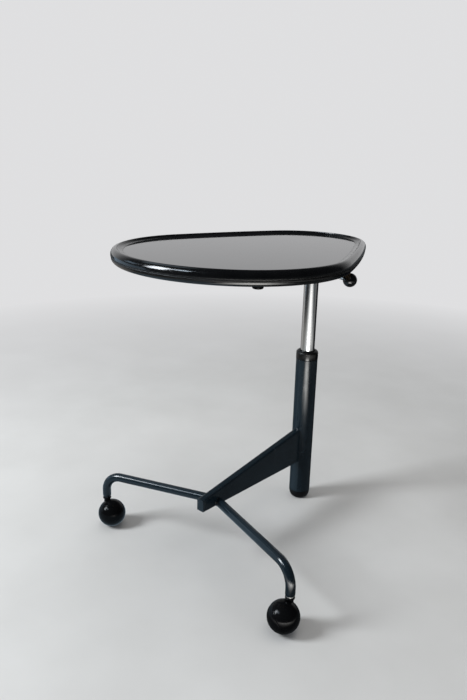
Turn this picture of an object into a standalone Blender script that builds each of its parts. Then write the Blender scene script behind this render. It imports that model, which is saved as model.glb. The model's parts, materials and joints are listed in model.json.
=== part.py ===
"""Side table with a height-adjustable, turning top on a column, two legs and two ball casters.

Metres, +Z up. The origin is on the floor under the column's axis, and the legs point along -Y.
"""

import math

import bmesh
import bpy
from mathutils import Matrix, Vector

# Clearances
SEAT_GAP = 0.0003  # between faces that rest on or butt against each other
FIT_GAP = 0.0003  # radial, between a round piece and the bore around it

# Column and foot
COLUMN_RADIUS = 0.0215
COLUMN_WALL = 0.0025
COLUMN_LENGTH = 0.2915
FOOT_HEIGHT = 0.017
FOOT_FLAT_RADIUS = 0.013
FOOT_SOLE = 0.006
FOOT_SPIGOT_WALL = 0.0035
FOOT_SPIGOT_HEIGHT = 0.007
FLOOR_PLATE_THICKNESS = 0.006
BUMP_RING_HEIGHT = 0.017
BUMP_RING_WALL = 0.005

# Guide collar
COLLAR_OVERHANG = 0.0003
COLLAR_HEIGHT = 0.0176
COLLAR_ROUND = 0.0052
COLLAR_DISH = 0.004
GUIDE_DEPTH = 0.080

# Gas spring
CYLINDER_RADIUS = 0.014
CYLINDER_WALL = 0.002
CYLINDER_LENGTH = 0.277
CYLINDER_LID = 0.004
ROD_RADIUS = 0.005
ROD_NECK_RADIUS = 0.0038
ROD_TIP_RADIUS = 0.0034
ROD_TAIL = 0.002
GLAND_HEIGHT = 0.012
PISTON_HEIGHT = 0.012
RAISE_TRAVEL = 0.040
PISTON_RESERVE = 0.002
BEARING_RADIUS = 0.0098
BEARING_HEIGHT = 0.006
CLIP_RADIUS = 0.0082
CLIP_THICKNESS = 0.002
RELEASE_PIN_RADIUS = 0.0022
RELEASE_PIN_LENGTH = 0.016

# Head, lever and knob
HEAD_RADIUS = 0.024
HEAD_HEIGHT = 0.029
HEAD_SEAT = 0.0122
LEVER_RADIUS = 0.004
LEVER_DEPTH = 0.0065  # lever axis below the top of the head
LEVER_ANGLE = math.radians(-23.0)
LEVER_PIVOT_REACH = 0.019
LEVER_TIP = 0.004  # how far the lever's inner end runs past the column axis
LEVER_SLOT_CLEARANCE = 0.001
LEVER_SLOT_DEPTH = 0.0042
LEVER_PIN_RADIUS = 0.0018
LEVER_PIN_SETBACK = 0.0012
KNOB_RADIUS = 0.0125
KNOB_REACH = 0.1207
KNOB_FLAT_RADIUS = 0.006
KNOB_BORE_DEPTH = 0.014

# Arm under the top and the pivot at its end
ARM_WIDTH = 0.040
ARM_HEIGHT = 0.030
ARM_WALL = 0.002
ARM_TAIL = 0.028
ARM_NOSE = 0.028
PIVOT_REACH = 0.168
STUD_RADIUS = 0.004
STUD_END = 0.004
SLIP_WASHER_RADIUS = 0.017
SLIP_WASHER_THICKNESS = 0.002
PIVOT_WASHER_RADIUS = 0.0085
PIVOT_WASHER_THICKNESS = 0.0016
NUT_FLATS = 0.013
NUT_HEIGHT = 0.0065
CAP_RADIUS = 0.0103
CAP_HEIGHT = 0.0195
CAP_ROUND = 0.003

# Table top
TOP_HEIGHT = 0.5534
TAIL_REACH = 0.0625  # crest of the rim behind the column axis
TAIL_RADIUS = 0.111
TAIL_TURN = math.radians(61.9)
SIDE_RADIUS = 1.469
SIDE_TURN = math.radians(8.1)
SHOULDER_RADIUS = 0.166
SHOULDER_TURN = math.radians(70.6)
RIM_HEIGHT = 0.0232
RIM_OVERHANG = 0.010
RIM_SHOULDER_DROP = 0.0112
RIM_SHOULDER_POWER = 2.1
RIM_UNDERCUT = 0.0080
RIM_BOTTOM_ROUND = 0.0085
LIP_HEIGHT = 0.005
LIP_RUN = 0.010
BEAD_HEIGHT = 0.0090
BEAD_SETBACK = 0.0005
GROOVE_WIDTH = 0.0012
GROOVE_DEPTH = 0.0012
TONGUE_DEPTH = 0.006
TONGUE_THICKNESS = 0.003
PANEL_THICKNESS = 0.0025
BOARD_THICKNESS = 0.012
TOP_PLATE_RADIUS = 0.060
TOP_PLATE_THICKNESS = 0.003
SCREW_CIRCLE_RADIUS = 0.047
SCREW_COUNT = 4
SCREW_RADIUS = 0.002
SCREW_LENGTH = 0.0085
SCREW_HEAD_RADIUS = 0.004
SCREW_HEAD_HEIGHT = 0.0017

# Ball casters
BALL_RADIUS = 0.026
BALL_SEAM = 0.0007
CASTER_TRAIL = 0.013
CASTER_NECK = 0.007  # from the top of the ball up to the end of the leg
CASTER_TILT = math.radians(35.0)
CASTER_SKEW = math.radians(-60.0)  # level turn from the trail direction to the roll axis
HOOD_NECK_RADIUS = 0.0060
HOOD_NECK_DEPTH = 0.012
HOOD_FLANGE_RADIUS = 0.0078
HOOD_FLANGE_HEIGHT = 0.0022
HOOD_BORE_DEPTH = 0.016
STEM_RADIUS = 0.004
SOCKET_SHOW = 0.0034  # how far the socket stands out of the leg
AXLE_RADIUS = 0.003
AXLE_HALF_LENGTH = 0.012
LEFT_TRAIL_ANGLE = math.radians(0.0)
RIGHT_TRAIL_ANGLE = math.radians(-96.0)

# Legs and beam
LEG_RADIUS = 0.008
LEG_WALL = 0.0015
LEG_BEND_RADIUS = 0.032
LEG_STRAIGHT = 0.0125
SOCKET_SETBACK = 0.004
LEG_JOINT_REACH = 0.2675
CASTER_REACH = 0.342
CASTER_HALF_SPREAD = 0.2186
BEAM_WIDTH = 0.015
BEAM_SHEET = 0.002
BEAM_EDGE_ROUND = 0.0040
BEAM_REACH = 0.311
BEAM_TIP_DROP = 0.0035  # lower edge of the tip below the legs' axis
BEAM_TIP_HEIGHT = 0.022
BEAM_ROOT_DROP = 0.0155
BEAM_ROOT_HEIGHT = 0.075

# Facets
FINE_SIDES = 40
ROUND_SIDES = 24
SMALL_SIDES = 16
ARC_STEPS = 6
SEAM_STEPS = 3  # from a half ball's floor contact to its flat face
NUT_SIDES = 6
OUTLINE_STEPS = (8, 4, 9, 6)  # tail, side, shoulder and front, on one half
SHARP_ANGLE = math.radians(35.0)

# Heights that follow from the sizes above
column_bottom = FOOT_HEIGHT + SEAT_GAP
column_top = column_bottom + COLUMN_LENGTH
column_bore = COLUMN_RADIUS - COLUMN_WALL
floor_plate_bottom = column_bottom + FOOT_SPIGOT_HEIGHT + SEAT_GAP
floor_plate_top = floor_plate_bottom + FLOOR_PLATE_THICKNESS
bearing_top = floor_plate_top + SEAT_GAP + BEARING_HEIGHT

rim_bottom = TOP_HEIGHT - RIM_HEIGHT
panel_top = TOP_HEIGHT - LIP_HEIGHT
board_top = panel_top - PANEL_THICKNESS - SEAT_GAP
board_bottom = board_top - BOARD_THICKNESS
top_plate_top = board_bottom - SEAT_GAP
top_plate_bottom = top_plate_top - TOP_PLATE_THICKNESS
slip_washer_top = top_plate_bottom - SEAT_GAP
arm_top = slip_washer_top - SLIP_WASHER_THICKNESS - SEAT_GAP
arm_bottom = arm_top - ARM_HEIGHT
head_top = arm_bottom - SEAT_GAP
head_bottom = head_top - HEAD_HEIGHT
lever_height = head_top - LEVER_DEPTH
cylinder_top = head_bottom + HEAD_SEAT
cylinder_bottom = cylinder_top - CYLINDER_LENGTH
cylinder_bore = CYLINDER_RADIUS - CYLINDER_WALL
piston_bottom = cylinder_bottom + GLAND_HEIGHT + RAISE_TRAVEL + PISTON_RESERVE
piston_top = piston_bottom + PISTON_HEIGHT

leg_end = 2 * BALL_RADIUS + CASTER_NECK
leg_height = leg_end + LEG_STRAIGHT + LEG_BEND_RADIUS
socket_bottom = leg_end - SOCKET_SHOW
socket_top = leg_end + LEG_STRAIGHT - SOCKET_SETBACK
hood_top = socket_bottom - SEAT_GAP


def clear_scene():
    for old in list(bpy.data.objects):
        bpy.data.objects.remove(old, do_unlink=True)


def make_material(name, colour, roughness, metallic):
    material = bpy.data.materials.new(name)
    material.use_nodes = True
    shader = material.node_tree.nodes["Principled BSDF"]
    shader.inputs["Base Color"].default_value = (*colour, 1.0)
    shader.inputs["Roughness"].default_value = roughness
    shader.inputs["Metallic"].default_value = metallic
    return material


def add_object(name, bm, material, parent=None):
    """Closes a bmesh into a named, smooth-shaded object, placed in its parent's own frame."""
    bmesh.ops.recalc_face_normals(bm, faces=bm.faces)
    mesh = bpy.data.meshes.new(name)
    bm.to_mesh(mesh)
    bm.free()
    mesh.shade_smooth()
    mesh.set_sharp_from_angle(angle=SHARP_ANGLE)
    if material:
        mesh.materials.append(material)
    obj = bpy.data.objects.new(name, mesh)
    bpy.context.collection.objects.link(obj)
    obj.parent = parent
    return obj


def add_axis(name, place, turn=None, parent=None):
    """An empty on a joint's axis, which carries the pieces that move about it."""
    empty = bpy.data.objects.new(name, None)
    bpy.context.collection.objects.link(empty)
    empty.parent = parent
    empty.matrix_local = Matrix.Translation(place) @ (turn or Matrix())
    return empty


def hang(obj, axis):
    """Parents a piece that was made in the table's frame to its joint's empty, without moving it."""
    bpy.context.view_layer.update()
    obj.parent = axis
    obj.matrix_parent_inverse = axis.matrix_world.inverted()


def cut(obj, cutter, operation="DIFFERENCE"):
    """Adds a Boolean, and keeps the other shape as a wire guide that isn't a piece of the table."""
    cutter.hide_render = True
    cutter.display_type = "WIRE"
    modifier = obj.modifiers.new(cutter.name, "BOOLEAN")
    modifier.operation = operation
    modifier.solver = "EXACT"
    modifier.object = cutter


def bridge(bm, first, second):
    """Faces between two rings of as many points, or between a ring and a single point."""
    count = max(len(first), len(second))
    for k in range(count):
        corners = [first[k % len(first)], first[(k + 1) % len(first)]]
        corners += [second[(k + 1) % len(second)], second[k % len(second)]]
        bm.faces.new(list(dict.fromkeys(corners)))


def turned(profile, sides):
    """Turns (radius, height) points about Z; a profile off the axis at both ends is a closed ring."""
    bm = bmesh.new()
    rings = []
    for radius, height in profile:
        if radius == 0:
            rings.append([bm.verts.new((0, 0, height))])
            continue
        angles = [2 * math.pi * k / sides for k in range(sides)]
        ring = [bm.verts.new((radius * math.cos(a), radius * math.sin(a), height)) for a in angles]
        rings.append(ring)
    pairs = list(zip(rings, rings[1:]))
    if len(rings[0]) > 1:
        pairs.append((rings[-1], rings[0]))
    for first, second in pairs:
        bridge(bm, first, second)
    return bm


def ring_profile(inner, outer, bottom, top):
    return [(inner, top), (outer, top), (outer, bottom), (inner, bottom)]


def disc_profile(radius, bottom, top):
    return [(0, top), (radius, top), (radius, bottom), (0, bottom)]


def lofted(loops, capped=True):
    """Skins loops of as many points; the ends are capped, or else the last loop meets the first."""
    bm = bmesh.new()
    rings = [[bm.verts.new(point) for point in loop] for loop in loops]
    pairs = list(zip(rings, rings[1:]))
    if not capped:
        pairs.append((rings[-1], rings[0]))
    for first, second in pairs:
        bridge(bm, first, second)
    if capped:
        bm.faces.new(rings[0])
        bm.faces.new(rings[-1])
    return bm


def box(low, high):
    bm = bmesh.new()
    bmesh.ops.create_cube(bm, size=1.0)
    for vert in bm.verts:
        vert.co = [a + (v + 0.5) * (b - a) for a, b, v in zip(low, high, vert.co)]
    return bm


def quarter_arc(centre, radius, start, turn):
    """Points of an arc in a section's own plane, from start through turn."""
    steps = [start + turn * k / ARC_STEPS for k in range(ARC_STEPS + 1)]
    return [(centre[0] + radius * math.cos(a), centre[1] + radius * math.sin(a)) for a in steps]


def top_arcs():
    """Centre, radius, start and end of each arc of the rim's crest, on the +X side from tail to front.

    An angle is the outward normal's, from +Y towards +X. The front arc's centre is on the Y axis.
    """
    arcs = []
    centre = Vector((0, TAIL_REACH - TAIL_RADIUS))
    angle = 0.0
    sizes = [(TAIL_RADIUS, TAIL_TURN), (SIDE_RADIUS, SIDE_TURN), (SHOULDER_RADIUS, SHOULDER_TURN)]
    for k, (radius, turn) in enumerate(sizes):
        arcs.append((centre, radius, angle, angle + turn))
        angle += turn
        outward = Vector((math.sin(angle), math.cos(angle)))
        after = sizes[k + 1][0] if k + 1 < len(sizes) else radius + centre.x / outward.x
        centre = centre + (radius - after) * outward
    arcs.append((centre, after, angle, math.pi))
    return arcs


def top_outline(offset, height):
    """The top's outline, offset outwards from the rim's crest, as points at one height."""
    half = []
    for (centre, radius, start, end), steps in zip(top_arcs(), OUTLINE_STEPS):
        for k in range(steps):
            a = start + (end - start) * k / steps
            reach = radius + offset
            half.append((centre.x + reach * math.sin(a), centre.y + reach * math.cos(a)))
    centre, radius = top_arcs()[-1][:2]
    front = (0.0, centre.y - radius - offset)
    mirrored = [(-x, y) for x, y in reversed(half[1:])]
    return [Vector((x, y, height)) for x, y in half + [front] + mirrored]


def make_column(paint, plastic, steel, rubber):
    shell = turned(ring_profile(column_bore, COLUMN_RADIUS, column_bottom, column_top), FINE_SIDES)
    add_object("column_tube", shell, paint)

    # The foot's rounded edge is a quarter ellipse from its flat sole up to the tube's radius
    edge = []
    for k in range(ARC_STEPS + 1):
        a = math.pi / 2 * k / ARC_STEPS
        run = COLUMN_RADIUS - FOOT_FLAT_RADIUS
        edge.append((FOOT_FLAT_RADIUS + run * math.sin(a), FOOT_HEIGHT * (1 - math.cos(a))))
    spigot = column_bore - FIT_GAP
    spigot_top = column_bottom + FOOT_SPIGOT_HEIGHT
    hollow = spigot - FOOT_SPIGOT_WALL
    inside = [(0, FOOT_SOLE), (hollow, FOOT_SOLE), (hollow, spigot_top), (spigot, spigot_top)]
    foot = inside + [(spigot, FOOT_HEIGHT)] + list(reversed(edge)) + [(0, 0)]
    add_object("foot_cap", turned(foot, FINE_SIDES), plastic)

    neck_bore = ROD_NECK_RADIUS + FIT_GAP
    plate = ring_profile(neck_bore, column_bore - FIT_GAP, floor_plate_bottom, floor_plate_top)
    add_object("column_floor", turned(plate, ROUND_SIDES), steel)
    bearing = ring_profile(neck_bore, BEARING_RADIUS, floor_plate_top + SEAT_GAP, bearing_top)
    add_object("thrust_bearing", turned(bearing, ROUND_SIDES), steel)
    bump_inner = BEARING_RADIUS + FIT_GAP
    bump_base = floor_plate_top + SEAT_GAP
    bump = ring_profile(bump_inner, bump_inner + BUMP_RING_WALL, bump_base, bump_base + BUMP_RING_HEIGHT)
    add_object("bump_ring", turned(bump, ROUND_SIDES), rubber)

    # The collar sits on the tube, and its sleeve guides the cylinder inside the tube
    collar_base = column_top + SEAT_GAP
    collar_top = collar_base + COLLAR_HEIGHT
    collar_radius = COLUMN_RADIUS + COLLAR_OVERHANG
    guide_bore = CYLINDER_RADIUS + FIT_GAP
    sleeve = column_bore - FIT_GAP
    crown = quarter_arc((collar_radius - COLLAR_ROUND, collar_top - COLLAR_ROUND), COLLAR_ROUND,
                        math.pi / 2, -math.pi / 2)
    guide = [(guide_bore, collar_top - COLLAR_DISH)] + crown + [(collar_radius, collar_base)]
    guide_end = column_top - GUIDE_DEPTH
    guide += [(sleeve, collar_base), (sleeve, guide_end), (guide_bore, guide_end)]
    add_object("guide_collar", turned(guide, FINE_SIDES), plastic)


def make_gas_spring(swivel, slide, chrome, steel):
    shoulder = bearing_top + SEAT_GAP
    clip_top = floor_plate_bottom - SEAT_GAP
    clip_bottom = clip_top - CLIP_THICKNESS
    rod = [(0, piston_top), (ROD_TIP_RADIUS, piston_top), (ROD_TIP_RADIUS, piston_bottom - SEAT_GAP)]
    rod += [(ROD_RADIUS, piston_bottom - SEAT_GAP), (ROD_RADIUS, shoulder), (ROD_NECK_RADIUS, shoulder)]
    rod += [(ROD_NECK_RADIUS, clip_bottom - ROD_TAIL), (0, clip_bottom - ROD_TAIL)]
    add_object("piston_rod", turned(rod, SMALL_SIDES), chrome, swivel)
    clip = ring_profile(ROD_NECK_RADIUS + FIT_GAP, CLIP_RADIUS, clip_bottom, clip_top)
    add_object("rod_clip", turned(clip, SMALL_SIDES), steel, swivel)
    piston = ring_profile(ROD_TIP_RADIUS + FIT_GAP, cylinder_bore - FIT_GAP, piston_bottom, piston_top)
    add_object("piston", turned(piston, ROUND_SIDES), steel, swivel)

    pin_bore = RELEASE_PIN_RADIUS + FIT_GAP
    lid_bottom = cylinder_top - CYLINDER_LID
    cylinder = [(pin_bore, cylinder_top), (CYLINDER_RADIUS, cylinder_top)]
    cylinder += [(CYLINDER_RADIUS, cylinder_bottom), (cylinder_bore, cylinder_bottom)]
    cylinder += [(cylinder_bore, lid_bottom), (pin_bore, lid_bottom)]
    add_object("gas_cylinder", turned(cylinder, FINE_SIDES), chrome, slide)
    gland = ring_profile(ROD_RADIUS + FIT_GAP, cylinder_bore - FIT_GAP, cylinder_bottom,
                         cylinder_bottom + GLAND_HEIGHT)
    add_object("rod_gland", turned(gland, ROUND_SIDES), steel, slide)

    pin_top = lever_height - LEVER_RADIUS - SEAT_GAP
    pin = disc_profile(RELEASE_PIN_RADIUS, pin_top - RELEASE_PIN_LENGTH, pin_top)
    add_object("release_pin", turned(pin, SMALL_SIDES), steel, slide)


def make_head_and_lever(slide, casting, chrome, steel, plastic):
    turn = Matrix.Rotation(LEVER_ANGLE, 4, "Z")
    outward = turn.to_3x3() @ Vector((1, 0, 0))
    pivot = LEVER_PIVOT_REACH * outward + Vector((0, 0, lever_height))
    lever_axis = add_axis("lever_axis", pivot, turn, slide)

    block = disc_profile(HEAD_RADIUS, head_bottom, head_top)
    head = add_object("head", turned(block, FINE_SIDES), casting, slide)
    seat_top = cylinder_top + SEAT_GAP
    seat = disc_profile(CYLINDER_RADIUS + FIT_GAP, head_bottom - HEAD_HEIGHT, seat_top)
    cut(head, add_object("head_seat_cut", turned(seat, FINE_SIDES), None, slide))

    # The slot lets the lever's inner end down onto the release pin
    slot_half = LEVER_RADIUS + LEVER_SLOT_CLEARANCE
    slot_low = (-LEVER_PIVOT_REACH - LEVER_TIP - slot_half, -slot_half, -LEVER_RADIUS - LEVER_SLOT_DEPTH)
    slot_high = (HEAD_RADIUS, slot_half, HEAD_HEIGHT)
    cut(head, add_object("lever_slot_cut", box(slot_low, slot_high), None, lever_axis))
    release_bore = disc_profile(RELEASE_PIN_RADIUS + FIT_GAP, cylinder_top - HEAD_HEIGHT, head_top)
    cut(head, add_object("release_bore_cut", turned(release_bore, SMALL_SIDES), None, slide))
    across = Matrix.Rotation(math.pi / 2, 4, "X")
    pin_axis = add_axis("lever_pin_axis", (0, 0, 0), across, lever_axis)
    pin_bore = disc_profile(LEVER_PIN_RADIUS + FIT_GAP, -HEAD_RADIUS, HEAD_RADIUS)
    cut(head, add_object("pin_bore_cut", turned(pin_bore, SMALL_SIDES), None, pin_axis))

    pin_half = math.sqrt(HEAD_RADIUS**2 - LEVER_PIVOT_REACH**2) - LEVER_PIN_SETBACK
    pin = turned(disc_profile(LEVER_PIN_RADIUS, -pin_half, pin_half), SMALL_SIDES)
    add_object("lever_pin", pin, steel, pin_axis)

    along = Matrix.Rotation(math.pi / 2, 4, "Y")
    rod_axis = add_axis("lever_rod_axis", (0, 0, 0), along, lever_axis)
    knob_centre = KNOB_REACH - LEVER_PIVOT_REACH
    knob_face = knob_centre - math.sqrt(KNOB_RADIUS**2 - KNOB_FLAT_RADIUS**2)
    rod_end = knob_face + KNOB_BORE_DEPTH - SEAT_GAP
    rod = disc_profile(LEVER_RADIUS, -LEVER_PIVOT_REACH - LEVER_TIP, rod_end)
    lever = add_object("lever_rod", turned(rod, SMALL_SIDES), chrome, rod_axis)
    hole = disc_profile(LEVER_PIN_RADIUS + FIT_GAP, -2 * LEVER_RADIUS, 2 * LEVER_RADIUS)
    cut(lever, add_object("lever_hole_cut", turned(hole, SMALL_SIDES), None, pin_axis))

    # A ball with a flat, bored face where the rod goes in
    bore = LEVER_RADIUS + FIT_GAP
    face_angle = math.pi - math.asin(KNOB_FLAT_RADIUS / KNOB_RADIUS)
    knob = [(0, knob_centre + KNOB_RADIUS)]
    for k in range(1, 2 * ARC_STEPS + 1):
        a = face_angle * k / (2 * ARC_STEPS)
        knob.append((KNOB_RADIUS * math.sin(a), knob_centre + KNOB_RADIUS * math.cos(a)))
    knob += [(bore, knob_face), (bore, knob_face + KNOB_BORE_DEPTH), (0, knob_face + KNOB_BORE_DEPTH)]
    add_object("lever_knob", turned(knob, ROUND_SIDES), plastic, rod_axis)


def make_arm(slide, paint, nylon):
    def section(y, inset):
        half = ARM_WIDTH / 2 - inset
        corners = [(-half, arm_bottom + inset), (half, arm_bottom + inset)]
        corners += [(half, arm_top - inset), (-half, arm_top - inset)]
        return [(x, y, z) for x, z in corners]

    back = ARM_TAIL
    front = -PIVOT_REACH - ARM_NOSE
    loops = [section(back, 0), section(front, 0), section(front, ARM_WALL), section(back, ARM_WALL)]
    arm = add_object("arm", lofted(loops, capped=False), paint, slide)
    bore = STUD_RADIUS + FIT_GAP
    hole = disc_profile(bore, arm_bottom - ARM_HEIGHT, arm_top + ARM_HEIGHT)
    hole_cut = add_object("stud_hole_cut", turned(hole, SMALL_SIDES), None, slide)
    hole_cut.location = (0, -PIVOT_REACH, 0)
    cut(arm, hole_cut)
    slip_washer_bottom = slip_washer_top - SLIP_WASHER_THICKNESS
    washer = ring_profile(bore, SLIP_WASHER_RADIUS, slip_washer_bottom, slip_washer_top)
    slip_washer = add_object("slip_washer", turned(washer, ROUND_SIDES), nylon, slide)
    slip_washer.location = (0, -PIVOT_REACH, 0)


def make_pivot(pivot, steel, plastic):
    washer_top = arm_bottom - SEAT_GAP
    washer_bottom = washer_top - PIVOT_WASHER_THICKNESS
    nut_top = washer_bottom - SEAT_GAP
    nut_bottom = nut_top - NUT_HEIGHT
    cap_top = washer_bottom - SEAT_GAP
    cap_bottom = cap_top - CAP_HEIGHT
    bore = STUD_RADIUS + FIT_GAP

    stud = disc_profile(STUD_RADIUS, nut_bottom - STUD_END, top_plate_bottom - SEAT_GAP)
    add_object("pivot_stud", turned(stud, SMALL_SIDES), steel, pivot)
    washer = ring_profile(bore, PIVOT_WASHER_RADIUS, washer_bottom, washer_top)
    add_object("pivot_washer", turned(washer, ROUND_SIDES), steel, pivot)
    nut_corner = NUT_FLATS / math.sqrt(3)
    hexagon = disc_profile(nut_corner, nut_bottom, nut_top)
    nut = add_object("pivot_nut", turned(hexagon, NUT_SIDES), steel, pivot)
    thread = turned(disc_profile(bore, nut_bottom - NUT_HEIGHT, nut_top + NUT_HEIGHT), SMALL_SIDES)
    cut(nut, add_object("nut_thread_cut", thread, None, pivot))

    # The cap is a cup pushed up over the nut
    hollow = nut_corner + FIT_GAP
    hollow_bottom = nut_bottom - STUD_END - SEAT_GAP
    crown = quarter_arc((CAP_RADIUS - CAP_ROUND, cap_bottom + CAP_ROUND), CAP_ROUND, 0, -math.pi / 2)
    cap = [(0, hollow_bottom), (hollow, hollow_bottom), (hollow, cap_top), (CAP_RADIUS, cap_top)]
    cap += crown + [(0, cap_bottom)]
    add_object("pivot_cap", turned(cap, ROUND_SIDES), plastic, pivot)


def rim_section():
    """The rim's section as (offset from the crest, height) points, once round from the crest."""
    section = []
    for k in range(2 * ARC_STEPS + 1):
        a = math.pi / 2 * k / (2 * ARC_STEPS)
        run = math.sin(a) ** (2 / RIM_SHOULDER_POWER)
        drop = 1 - math.cos(a) ** (2 / RIM_SHOULDER_POWER)
        section.append((RIM_OVERHANG * run, TOP_HEIGHT - RIM_SHOULDER_DROP * drop))
    bead_top = rim_bottom + BEAD_HEIGHT
    groove_top = bead_top + GROOVE_WIDTH
    bead = RIM_OVERHANG - BEAD_SETBACK
    section += [(RIM_OVERHANG, groove_top), (RIM_OVERHANG - GROOVE_DEPTH, groove_top)]
    section += [(RIM_OVERHANG - GROOVE_DEPTH, bead_top), (bead, bead_top)]
    for k in range(ARC_STEPS // 2 + 1):
        a = math.pi / 2 * k / (ARC_STEPS // 2)
        run = RIM_OVERHANG - RIM_UNDERCUT
        offset = run + (bead - run) * math.cos(a)
        section.append((offset, rim_bottom + RIM_BOTTOM_ROUND * (1 - math.sin(a))))
    tongue_middle = (board_bottom + board_top) / 2
    tongue_low = tongue_middle - TONGUE_THICKNESS / 2
    tongue_high = tongue_middle + TONGUE_THICKNESS / 2
    tongue_tip = -LIP_RUN - TONGUE_DEPTH
    section += [(-LIP_RUN, rim_bottom), (-LIP_RUN, tongue_low), (tongue_tip, tongue_low)]
    section += [(tongue_tip, tongue_high), (-LIP_RUN, tongue_high)]

    # A concave sweep from the panel up to the crest
    for k in range(ARC_STEPS):
        a = math.pi / 2 * k / ARC_STEPS
        section.append((-LIP_RUN * (1 - math.sin(a)), panel_top + LIP_HEIGHT * (1 - math.cos(a))))
    return section


def make_top(pivot, rim_plastic, panel_gloss, wood, steel):
    rim_loops = [top_outline(offset, height) for offset, height in rim_section()]
    hang(add_object("rim", lofted(rim_loops, capped=False), rim_plastic), pivot)

    edge = -LIP_RUN - FIT_GAP
    panel_bottom = panel_top - PANEL_THICKNESS
    panel_loops = [top_outline(edge, panel_bottom), top_outline(edge, panel_top)]
    hang(add_object("panel", lofted(panel_loops), panel_gloss), pivot)

    middle = (board_bottom + board_top) / 2
    groove_half = TONGUE_THICKNESS / 2 + FIT_GAP
    groove = edge - TONGUE_DEPTH
    steps = [(edge, board_bottom), (edge, middle - groove_half), (groove, middle - groove_half)]
    steps += [(groove, middle + groove_half), (edge, middle + groove_half), (edge, board_top)]
    board = add_object("board", lofted([top_outline(offset, height) for offset, height in steps]), wood)
    hang(board, pivot)

    plate_profile = disc_profile(TOP_PLATE_RADIUS, top_plate_bottom, top_plate_top)
    plate = add_object("top_plate", turned(plate_profile, FINE_SIDES), steel, pivot)
    head_top_height = top_plate_bottom - SEAT_GAP
    head_bottom_height = head_top_height - SCREW_HEAD_HEIGHT
    hole_radius = SCREW_RADIUS + FIT_GAP
    tip_height = head_top_height + SCREW_LENGTH
    for k in range(SCREW_COUNT):
        a = 2 * math.pi * (k + 0.5) / SCREW_COUNT
        place = (SCREW_CIRCLE_RADIUS * math.cos(a), SCREW_CIRCLE_RADIUS * math.sin(a), 0)
        hole = disc_profile(hole_radius, top_plate_bottom - SCREW_LENGTH, tip_height + SEAT_GAP)
        hole_cut = add_object(f"screw_hole_cut_{k + 1}", turned(hole, SMALL_SIDES), None, pivot)
        hole_cut.location = place
        cut(plate, hole_cut)
        cut(board, hole_cut)
        profile = [(0, tip_height), (SCREW_RADIUS, tip_height), (SCREW_RADIUS, head_top_height)]
        profile += [(SCREW_HEAD_RADIUS, head_top_height), (SCREW_HEAD_RADIUS, head_bottom_height)]
        profile += [(0, head_bottom_height)]
        screw = add_object(f"top_screw_{k + 1}", turned(profile, SMALL_SIDES), steel, pivot)
        screw.location = place


def make_leg(side, sign, paint, steel):
    """A bent tube from the beam's flank out to its caster, with its lower end turned down."""
    start_x = sign * (BEAM_WIDTH / 2 + SEAT_GAP)
    stem = Vector((sign * CASTER_HALF_SPREAD, -CASTER_REACH, leg_height))
    apex = Vector((0, -LEG_JOINT_REACH, leg_height))
    along = (stem - apex).normalized()
    down = Vector((0, 0, -1))
    level = along.cross(down)
    bend_centre = stem - LEG_BEND_RADIUS * along + LEG_BEND_RADIUS * down

    # Stations as (point, direction) pairs along the tube's axis
    stations = [(apex + along * (start_x / along.x), along)]
    for k in range(ARC_STEPS + 1):
        a = math.pi / 2 * k / ARC_STEPS
        point = bend_centre + LEG_BEND_RADIUS * (math.sin(a) * along - math.cos(a) * down)
        stations.append((point, math.cos(a) * along + math.sin(a) * down))
    stations.append((Vector((stem.x, stem.y, leg_end)), down))

    def ring(station, radius):
        point, direction = station
        upright = level.cross(direction)
        angles = [2 * math.pi * k / SMALL_SIDES for k in range(SMALL_SIDES)]
        return [point + radius * (math.cos(a) * level + math.sin(a) * upright) for a in angles]

    def skin(radius):
        rings = [ring(station, radius) for station in stations]
        rings[0] = [p + along * ((start_x - p.x) / along.x) for p in rings[0]]
        return rings

    loops = skin(LEG_RADIUS) + list(reversed(skin(LEG_RADIUS - LEG_WALL)))
    add_object(f"{side}_leg", lofted(loops, capped=False), paint)

    sleeve = LEG_RADIUS - LEG_WALL - FIT_GAP
    bore = STEM_RADIUS + FIT_GAP
    socket = turned(ring_profile(bore, sleeve, socket_bottom, socket_top), SMALL_SIDES)
    socket_object = add_object(f"{side}_socket", socket, steel)
    socket_object.location = (stem.x, stem.y, 0)


def half_ball(face):
    """A half ball about Z, flat at the given height, with a ring of points through the floor contact."""
    floor_angle = math.pi / 2 - CASTER_TILT
    face_angle = math.acos(face / BALL_RADIUS)
    angles = [floor_angle * k / (ARC_STEPS - 1) for k in range(ARC_STEPS)]
    angles += [floor_angle + (face_angle - floor_angle) * k / SEAM_STEPS for k in range(1, SEAM_STEPS + 1)]
    profile = [(BALL_RADIUS * math.sin(a), BALL_RADIUS * math.cos(a)) for a in angles]
    return [(0, BALL_RADIUS)] + profile[1:] + [(0, face)]


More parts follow.
